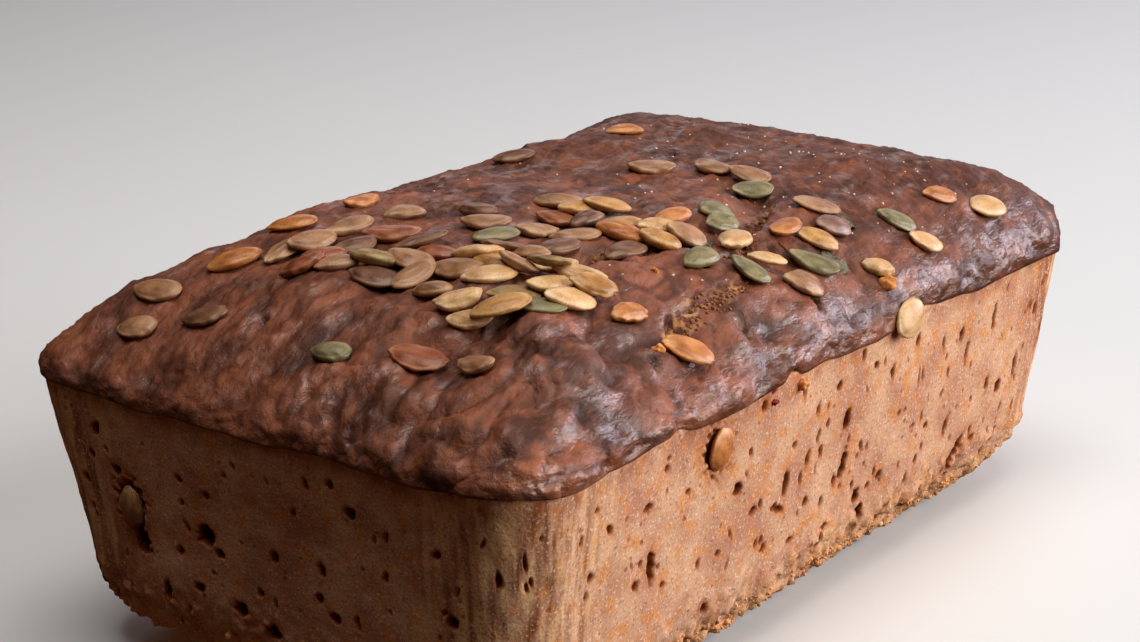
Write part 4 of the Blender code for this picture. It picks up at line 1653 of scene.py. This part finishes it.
@dataclass(frozen=True)
class Kernels:
    """The pumpkin kernels, where the solid has them: one piece for each tone."""

    form: LoafForm
    lengths: tuple[float, float] = (9.6 * MM, 12.4 * MM)
    sink: float = 0.5 * MM
    support_share: float = 0.82
    steepest_lean: float = 0.6
    heap_spacing: float = 5.4 * MM
    heading_spread: float = 45
    place_seed: int = 831
    look_seed: int = 12
    point: float = 0.2
    detail: int = 4
    mean_thickness: float = 2.8 * MM
    ragged_edge: float = 0.5 * MM
    even_edge: float = 0.15 * MM
    crease_rise: float = 0.2 * MM
    dent_rise: float = 0.2 * MM
    side_dent: float = 0.25 * MM
    lip_depth: float = 0.12 * MM

    def laid(self) -> list[Kernel]:
        """Draw the kernels on the crust by the solid's own seeded rule, with their tones.

        Returns:
            The kernels, not yet at rest.
        """
        draw = random.Random(self.place_seed)
        tone_draw = random.Random(self.look_seed)
        kernels = []
        for x, y, heading, tone in LONE_KERNELS:
            kernels.append(Kernel(x * MM, y * MM, math.radians(heading), draw.uniform(*self.lengths), tone))
        for heap in HEAPS:
            count = 0
            while count < heap.count:
                turn = draw.uniform(0.0, math.tau)
                out = math.sqrt(draw.random())
                x = (heap.middle[0] + heap.reach[0] * out * math.cos(turn)) * MM
                y = (heap.middle[1] + heap.reach[1] * out * math.sin(turn)) * MM
                spread = draw.uniform(-self.heading_spread, self.heading_spread)
                heading = math.radians(heap.heading + spread)
                length = draw.uniform(*self.lengths)
                if all(math.hypot(x - other.x, y - other.y) > self.heap_spacing for other in kernels):
                    kernels.append(Kernel(x, y, heading, length, tone_draw.choice(heap.tones)))
                    count += 1
        return kernels

    def support(self, kernel: Kernel, below: list[Kernel], run: float, side: float) -> float:
        """Find the height that holds a kernel up at an offset from its middle.

        Args:
            kernel: The kernel.
            below: The kernels laid before it.
            run: Offset towards its point.
            side: Offset to its left.

        Returns:
            The height.
        """
        along = kernel.along()
        x = kernel.x + run * along.x - side * along.y
        y = kernel.y + run * along.y + side * along.x
        return max([self.form.crust_height(x, y)] + [other.top_at(x, y) for other in below])

    def settle(self, kernels: list[Kernel]) -> None:
        """Rest each kernel on the crust and on the kernels laid before it.

        Args:
            kernels: The kernels, in the order in which they were laid.
        """
        for index, kernel in enumerate(kernels):
            below = kernels[:index]
            half_length = kernel.length / 2 * self.support_share
            half_width = half_length * kernel.width_share
            point = self.support(kernel, below, half_length, 0.0)
            tail = self.support(kernel, below, -half_length, 0.0)
            left = self.support(kernel, below, 0.0, half_width)
            right = self.support(kernel, below, 0.0, -half_width)
            along = (point - tail) / (2 * half_length)
            across = (left - right) / (2 * half_width)
            kernel.lean_along = min(max(along, -self.steepest_lean), self.steepest_lean)
            kernel.lean_across = min(max(across, -self.steepest_lean), self.steepest_lean)
            middle = self.support(kernel, below, 0.0, 0.0)
            rest = max((point + tail) / 2, (left + right) / 2, middle)
            kernel.height = rest - self.sink + kernel.thickness / 2

    def places(self) -> list[tuple[Matrix, float, Tone]]:
        """Place every kernel, on the crust and in the upright faces.

        Returns:
            Matrix, length and tone of each.
        """
        kernels = self.laid()
        self.settle(kernels)
        found = []
        for kernel in kernels:
            along = kernel.along()
            ahead = Vector((along.x, along.y, kernel.lean_along))
            side = Vector((-along.y, along.x, kernel.lean_across))
            point = Vector((kernel.x, kernel.y, kernel.height))
            found.append((frame_matrix(point, ahead, ahead.cross(side)), kernel.length, kernel.tone))
        for spot in WALL_KERNELS:
            outward = Vector(spot.normal)
            level = Vector((0, 0, 1)).cross(outward).normalized()
            along = Matrix.Rotation(math.radians(spot.lean), 3, outward) @ level
            point = Vector(spot.point) * MM + outward.normalized() * WALL_KERNEL_LIFT
            wider = Matrix.Scale(spot.widening, 4, Vector((0, 1, 0)))
            found.append((frame_matrix(point, along, outward) @ wider, spot.length, spot.tone))
        return found

    def add_kernel(self, mesh: bmesh.types.BMesh, place: Matrix, length: float, draw: random.Random) -> None:
        """Model one kernel: a flat egg shape with a point, a soft rim, and creases along it.

        Args:
            mesh: The mesh that it is added to.
            place: Its place on the loaf.
            length: Its length on the solid.
            draw: The chance draws that make each kernel differ.
        """
        shade_layer = mesh.verts.layers.float["shade"]
        rim_layer = mesh.verts.layers.float["rim"]
        verts = bmesh.ops.create_icosphere(mesh, subdivisions=self.detail, radius=1.0)["verts"]
        length *= draw.uniform(0.84, 1.02)
        width = length * KERNEL_WIDTH_SHARE * draw.uniform(0.9, 1.12)
        thickness = self.mean_thickness * draw.uniform(0.75, 1.15)
        point = self.point * draw.uniform(0.2, 1.4)
        bend = draw.uniform(-0.15, 0.3)
        shade = draw.uniform(0.0, 0.7)
        creases = draw.uniform(0.3, 1.0)
        ragged = self.ragged_edge if draw.random() < 0.2 else self.even_edge
        shift = Vector((draw.uniform(0, 50), draw.uniform(0, 50), 0.0))
        for vert in verts:
            x, y, z = vert.co
            out = math.hypot(x, y)
            flat = math.copysign((1.0 - min(out, 1.0) ** 2.2) ** 0.55, z)
            tip = smooth_share(x, 0.5, 1.0)
            narrow = 1.0 - point * x - 0.15 * tip
            crease = noise.noise(Vector((x * 1.1, y * 5.0, z)) + shift)
            dent = noise.noise(Vector((x * 2.0, y * 2.0, z)) + shift)
            lip = math.exp(-(((out - 0.86) / 0.07) ** 2))
            edge = ragged * noise.noise(Vector((x * 3.0, y * 3.0, 0.0)) + shift)
            edge *= smooth_share(out, 0.6, 1.0)
            vert.co.x = x * (length / 2 + edge)
            vert.co.y = y * (width / 2 * narrow + edge) + self.side_dent * dent
            vert.co.z = flat * thickness / 2 + (self.crease_rise * creases * crease + self.dent_rise * dent)
            vert.co.z += bend * (x * x - 0.4) * thickness - self.lip_depth * lip * math.copysign(1.0, z)
            blotch = noise.noise(Vector((x * 1.6, y * 1.6, z)) + shift)
            scorch = shade + 0.9 * blotch + 0.35 * smooth_share(-x, 0.4, 1.0)
            vert[shade_layer] = min(max(scorch, 0.0), 1.0)
            # Rim and tip share: pale edge colour, partly a painted highlight
            vert[rim_layer] = min(max(0.5 * lip + 0.35 * tip - 0.5 * blotch, 0.0), 1.0)
        bmesh.ops.transform(mesh, matrix=place, verts=verts)

    def build(self) -> list[bpy.types.Object]:
        """Model the kernels, tone by tone.

        Returns:
            One piece for each tone.
        """
        places = self.places()
        draw = random.Random(self.look_seed + 1)
        pieces = []
        for tone in Tone:
            mesh = bmesh.new()
            mesh.verts.layers.float.new("shade")
            mesh.verts.layers.float.new("rim")
            for place, length, kernel_tone in places:
                if kernel_tone is tone:
                    self.add_kernel(mesh, place, length, draw)
            name = f"{tone.name.lower()}_kernels"
            pieces.append(finish_piece(name, mesh, RoastedKernel(tone).material()))
        return pieces


@dataclass(frozen=True)
class Gathered:
    """A mesh that is made in small batches, so that each operator works on few points."""

    whole: bmesh.types.BMesh = field(default_factory=bmesh.new)
    batch: bmesh.types.BMesh = field(default_factory=bmesh.new)
    batch_limit: int = 1500

    def add_bit(self, place: Vector, size: float, detail: int, draw: random.Random) -> None:
        """Add one lump, uneven and turned by chance.

        Args:
            place: Its middle.
            size: Its mean radius.
            detail: How finely it is faceted.
            draw: The chance draws.
        """
        verts = bmesh.ops.create_icosphere(self.batch, subdivisions=detail, radius=1.0)["verts"]
        stretch = Matrix.Diagonal([size * draw.uniform(0.7, 1.3) for _ in range(3)])
        turn = Matrix.Rotation(draw.uniform(0, math.tau), 3, Vector((draw.random(), draw.random(), 1.0)))
        shape = turn @ stretch
        shift = Vector((draw.uniform(0, 90), 0.0, 0.0))
        for vert in verts:
            uneven = 1.0 + 0.55 * noise.noise(vert.co * 1.6 + shift)
            vert.co = place + shape @ (vert.co * uneven)
        if len(self.batch.verts) > self.batch_limit:
            self.pour()

    def pour(self) -> bmesh.types.BMesh:
        """Move the batch into the whole.

        Returns:
            The whole.
        """
        data = bpy.data.meshes.new("batch")
        self.batch.to_mesh(data)
        self.whole.from_mesh(data)
        bpy.data.meshes.remove(data)
        self.batch.clear()
        return self.whole


def surface_tree(piece: bpy.types.Object) -> BVHTree:
    """Sort a piece's faces in space, to find its nearest or topmost point.

    Args:
        piece: The piece.

    Returns:
        The tree of its faces.
    """
    mesh = bmesh.new()
    mesh.from_mesh(piece.data)
    tree = BVHTree.FromBMesh(mesh)
    mesh.free()
    return tree


@dataclass(frozen=True)
class LooseBits:
    """Small things that lie on the loaf: base crumbs, torn crumb, flour and flecks."""

    walls: BVHTree
    crust: BVHTree
    draw: random.Random
    coarse_crumbs: int = 420
    coarse_sizes: tuple[float, float] = (0.3, 0.8)
    fine_crumbs: int = 4200
    fine_sizes: tuple[float, float] = (0.15, 0.4)
    crumb_run: tuple[float, float] = (104 * MM, 58 * MM)
    crumb_start: tuple[float, float] = (130 * MM, 80 * MM)
    band_foot: float = 0.8 * MM
    band_height: float = 11 * MM
    torn_crumbs: int = 380
    torn_spread: float = 0.8
    torn_sizes: tuple[float, float, float] = (0.12, 0.7, 0.2)
    flour_specks: int = 170
    flour_along: tuple[float, float, float] = (-70, 100, 60)
    flour_across: tuple[float, float, float] = (-58, 50, -45)
    flour_sizes: tuple[float, float] = (0.12, 0.36)
    husk_thickness: float = 0.35 * MM
    husk_ripple: float = 0.8 * MM
    above: float = 0.2

    def on_crust(self, x: float, y: float) -> tuple[Vector, Vector]:
        """Point of the crust straight under a place on the plan, and its normal."""
        return self.crust.ray_cast(Vector((x, y, self.above)), Vector((0, 0, -1)))[:2]

    def add_base_crumbs(self, name: str, count: int, sizes: tuple[float, float]) -> None:
        """Scatter toasted crumbs of one kind over the round of the base edge.

        Args:
            name: What one of them is called.
            count: How many there are.
            sizes: Smallest and largest radius in mm.
        """
        gathered = Gathered()
        draw = self.draw
        half_length, half_width = self.crumb_run
        start_x, start_y = self.crumb_start
        for _ in range(count):
            along = draw.uniform(0.0, 4 * (half_length + half_width))
            side = math.copysign(1.0, draw.random() - 0.5)
            level = self.band_foot + self.band_height * draw.random() ** 1.4
            if along < 4 * half_length:
                start = Vector((along / 2 - half_length, side * start_y, level))
                inwards = Vector((0, -side, 0))
            else:
                start = Vector((side * start_x, (along - 4 * half_length) / 2 - half_width, level))
                inwards = Vector((-side, 0, 0))
            place, normal, _, _ = self.walls.ray_cast(start, inwards)
            if place is None:
                continue
            size = draw.uniform(*sizes) * MM
            gathered.add_bit(place + normal * size * draw.uniform(-0.7, 0.2), size, 1, draw)
        # Toasted crumb colours, lightened as painted light for light bounced up from the floor
        finish = DryCrumb(name, "ffcc98", "ea9850").material()
        finish_piece(f"{name}s", gathered.pour(), finish)

    def add_torn_crumbs(self) -> None:
        """Strew moist crumbs along the torn places of the crust."""
        gathered = Gathered()
        draw = self.draw
        for _ in range(self.torn_crumbs):
            tear = draw.choice(TORN_CRUMB)
            leg = draw.randrange(len(tear.points) - 1)
            start, end = Vector(tear.points[leg]), Vector(tear.points[leg + 1])
            spot = start.lerp(end, draw.random())
            spot += Vector((draw.gauss(0, self.torn_spread), draw.gauss(0, self.torn_spread)))
            size = draw.triangular(*self.torn_sizes) * MM
            gathered.add_bit(self.on_crust(*(spot * MM))[0], size, 1, draw)
        finish = DryCrumb("moist_torn_crumb", "a5713f", "5e2e18").material()
        finish_piece("torn_crumbs", gathered.pour(), finish)

    def add_flour(self) -> None:
        """Dust pale specks over the right half of the crust and a few round the kernels."""
        gathered = Gathered()
        draw = self.draw
        for _ in range(self.flour_specks):
            x, y = draw.triangular(*self.flour_along) * MM, draw.triangular(*self.flour_across) * MM
            gathered.add_bit(self.on_crust(x, y)[0], draw.uniform(*self.flour_sizes) * MM, 1, draw)
        finish = DryCrumb("flour_speck", "ead9cc", "c9ab98").material()
        finish_piece("flour_specks", gathered.pour(), finish)

    def add_flecks(self) -> None:
        """Set the orange and red flecks that show at the rim and in the long side."""
        kinds = (
            ("orange_fleck", ORANGE_FLECKS, "e8a45c", "c9783a"),
            ("red_fleck", RED_FLECKS, "a8341a", "6e1c0e"),
        )
        for name, flecks, main, dark in kinds:
            gathered = Gathered()
            for point, size in flecks:
                found = [tree.find_nearest(Vector(point) * MM) for tree in (self.crust, self.walls)]
                place = min(found, key=lambda near: near[3])[0]
                gathered.add_bit(place, size * MM, 3, self.draw)
            finish_piece(f"{name}s", gathered.pour(), DryCrumb(name, main, dark).material())

    def add_husks(self) -> None:
        """Lay the thin dark skins that came off kernels on the crust."""
        mesh = bmesh.new()
        for x, y, heading, length, width in HUSKS:
            verts = bmesh.ops.create_icosphere(mesh, subdivisions=4, radius=1.0)["verts"]
            place, normal = self.on_crust(x * MM, y * MM)
            turn = math.radians(heading)
            ahead = Vector((math.cos(turn), math.sin(turn), 0.0))
            lie = frame_matrix(place + normal * self.husk_thickness, ahead, normal)
            for vert in verts:
                ripple = noise.noise(Vector((vert.co.x * 1.7, vert.co.y * 1.7, x)))
                ragged = 1.0 + 0.3 * noise.noise(Vector((vert.co.x * 2.6, vert.co.y * 2.6, y)))
                vert.co.x *= length / 2 * MM * ragged
                vert.co.y *= width / 2 * MM * ragged
                vert.co.z = vert.co.z * self.husk_thickness + self.husk_ripple * ripple
                vert.co = lie @ vert.co
        finish = DryCrumb("dry_kernel_husk", "77705c", "423c2e").material()
        finish_piece("kernel_husks", mesh, finish)

    def build(self) -> None:
        """Model every kind of loose bit."""
        self.add_base_crumbs("coarse_base_crumb", self.coarse_crumbs, self.coarse_sizes)
        self.add_base_crumbs("fine_base_crumb", self.fine_crumbs, self.fine_sizes)
        self.add_torn_crumbs()
        self.add_flour()
        self.add_flecks()
        self.add_husks()


@dataclass(frozen=True)
class SoftLight:
    """A soft rectangular light: its name, place, width and height in metres, power in watts and colour."""

    name: str
    place: Vector
    size: tuple[float, float]
    power: float
    colour: str


@dataclass(frozen=True)
class Studio:
    """Floor, lights and camera."""

    lights: tuple[SoftLight, ...] = (
        SoftLight("window", Vector((0.45, -1.3, 0.66)), (1.0, 0.9), 20.5, "fffaf2"),
        SoftLight("far_window", Vector((1.28, -0.78, 0.36)), (0.55, 0.66), 10.5, "f0eafa"),
        SoftLight("back_wall", Vector((1.5, 0.6, 0.75)), (1.8, 0.9), 5.0, "f0ecf6"),
        SoftLight("ceiling", Vector((-0.1, -0.1, 1.1)), (0.8, 0.8), 8.0, "fff4e8"),
        SoftLight("low_glow", Vector((0.5, -0.75, 0.03)), (0.6, 0.05), 1.4, "ffdcb8"),
    )
    lit_point: Vector = Vector((0, 0, 0.04))
    room_colour: str = "ffba8c"
    room_strength: float = 0.05
    floor_colour: str = "e3ebf1"
    floor_roughness: float = 0.6
    floor_size: float = 8.0
    floor_drop: float = 0.3 * MM
    focal_pixels: float = 2388.9
    frame_pixels: float = 1140
    sensor: float = 36.0
    nearest_view: float = 0.01
    place: Vector = Vector((-0.4059, -0.2991, 0.2090))
    yaw: float = 37.08
    pitch: float = 17.28
    roll: float = 0.74

    def add_floor(self) -> None:
        """Lay the pale floor, which throws no light back onto the loaf's dark end."""
        mesh = bmesh.new()
        bmesh.ops.create_grid(mesh, x_segments=1, y_segments=1, size=self.floor_size / 2)
        bmesh.ops.translate(mesh, verts=mesh.verts[:], vec=(0, 0, -self.floor_drop))
        data = bpy.data.meshes.new("floor")
        mesh.to_mesh(data)
        mesh.free()
        material = bpy.data.materials.new("matt_pale_floor")
        material.use_nodes = True
        shader = material.node_tree.nodes["Principled BSDF"]
        shader.inputs["Base Color"].default_value = linear(self.floor_colour)
        shader.inputs["Roughness"].default_value = self.floor_roughness
        data.materials.append(material)
        floor = bpy.data.objects.new("floor", data)
        bpy.context.scene.collection.objects.link(floor)
        floor.visible_diffuse = False
        floor.visible_glossy = False

    def add_light(self, light: SoftLight) -> None:
        """Hang one light that faces the loaf.

        Args:
            light: The light's sizes.
        """
        lamp = bpy.data.lights.new(light.name, "AREA")
        lamp.shape = "RECTANGLE"
        lamp.size, lamp.size_y = light.size
        lamp.energy = light.power
        lamp.color = linear(light.colour)[:3]
        hung = bpy.data.objects.new(light.name, lamp)
        hung.location = light.place
        hung.rotation_euler = (self.lit_point - light.place).to_track_quat("-Z", "Y").to_euler()
        bpy.context.scene.collection.objects.link(hung)

    def add_room(self) -> None:
        """Fill the room with a faint warm light."""
        room = bpy.data.worlds.new("room")
        room.use_nodes = True
        sky = room.node_tree.nodes["Background"]
        sky.inputs["Color"].default_value = linear(self.room_colour)
        sky.inputs["Strength"].default_value = self.room_strength
        bpy.context.scene.world = room
        bpy.context.scene.view_settings.view_transform = "Standard"

    def add_camera(self) -> None:
        """Stand the camera where the picture was taken."""
        yaw, pitch, roll = (math.radians(angle) for angle in (self.yaw, self.pitch, self.roll))
        ahead = Vector((math.cos(yaw) * math.cos(pitch), math.sin(yaw) * math.cos(pitch), -math.sin(pitch)))
        level = Vector((math.sin(yaw), -math.cos(yaw), 0.0))
        down = ahead.cross(level)
        right = math.cos(roll) * level + math.sin(roll) * down
        below = -math.sin(roll) * level + math.cos(roll) * down
        lens = bpy.data.cameras.new("camera")
        lens.sensor_width = self.sensor
        lens.lens = self.focal_pixels / self.frame_pixels * self.sensor
        lens.clip_start = self.nearest_view
        camera = bpy.data.objects.new("camera", lens)
        turn = Matrix((right, -below, -ahead)).transposed().to_4x4()
        camera.matrix_world = Matrix.Translation(self.place) @ turn
        bpy.context.scene.collection.objects.link(camera)
        bpy.context.scene.camera = camera

    def build(self) -> None:
        """Set up the floor, the light and the camera."""
        self.add_floor()
        for light in self.lights:
            self.add_light(light)
        self.add_room()
        self.add_camera()


def main() -> None:
    """Dress the loaf and light it."""
    logging.basicConfig(level=logging.INFO, format="%(message)s")
    # Noise that gives vectors takes its offsets from this seed, or else from the clock
    noise.seed_set(NOISE_SEED)
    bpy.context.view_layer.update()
    form = LoafForm()
    walls = Walls(form).build()
    crust = Crust(form).build()
    Kernels(form).build()
    LooseBits(surface_tree(walls), surface_tree(crust), random.Random(CRUMB_SEED)).build()
    Studio().build()
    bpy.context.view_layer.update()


if __name__ == "__main__":
    main()
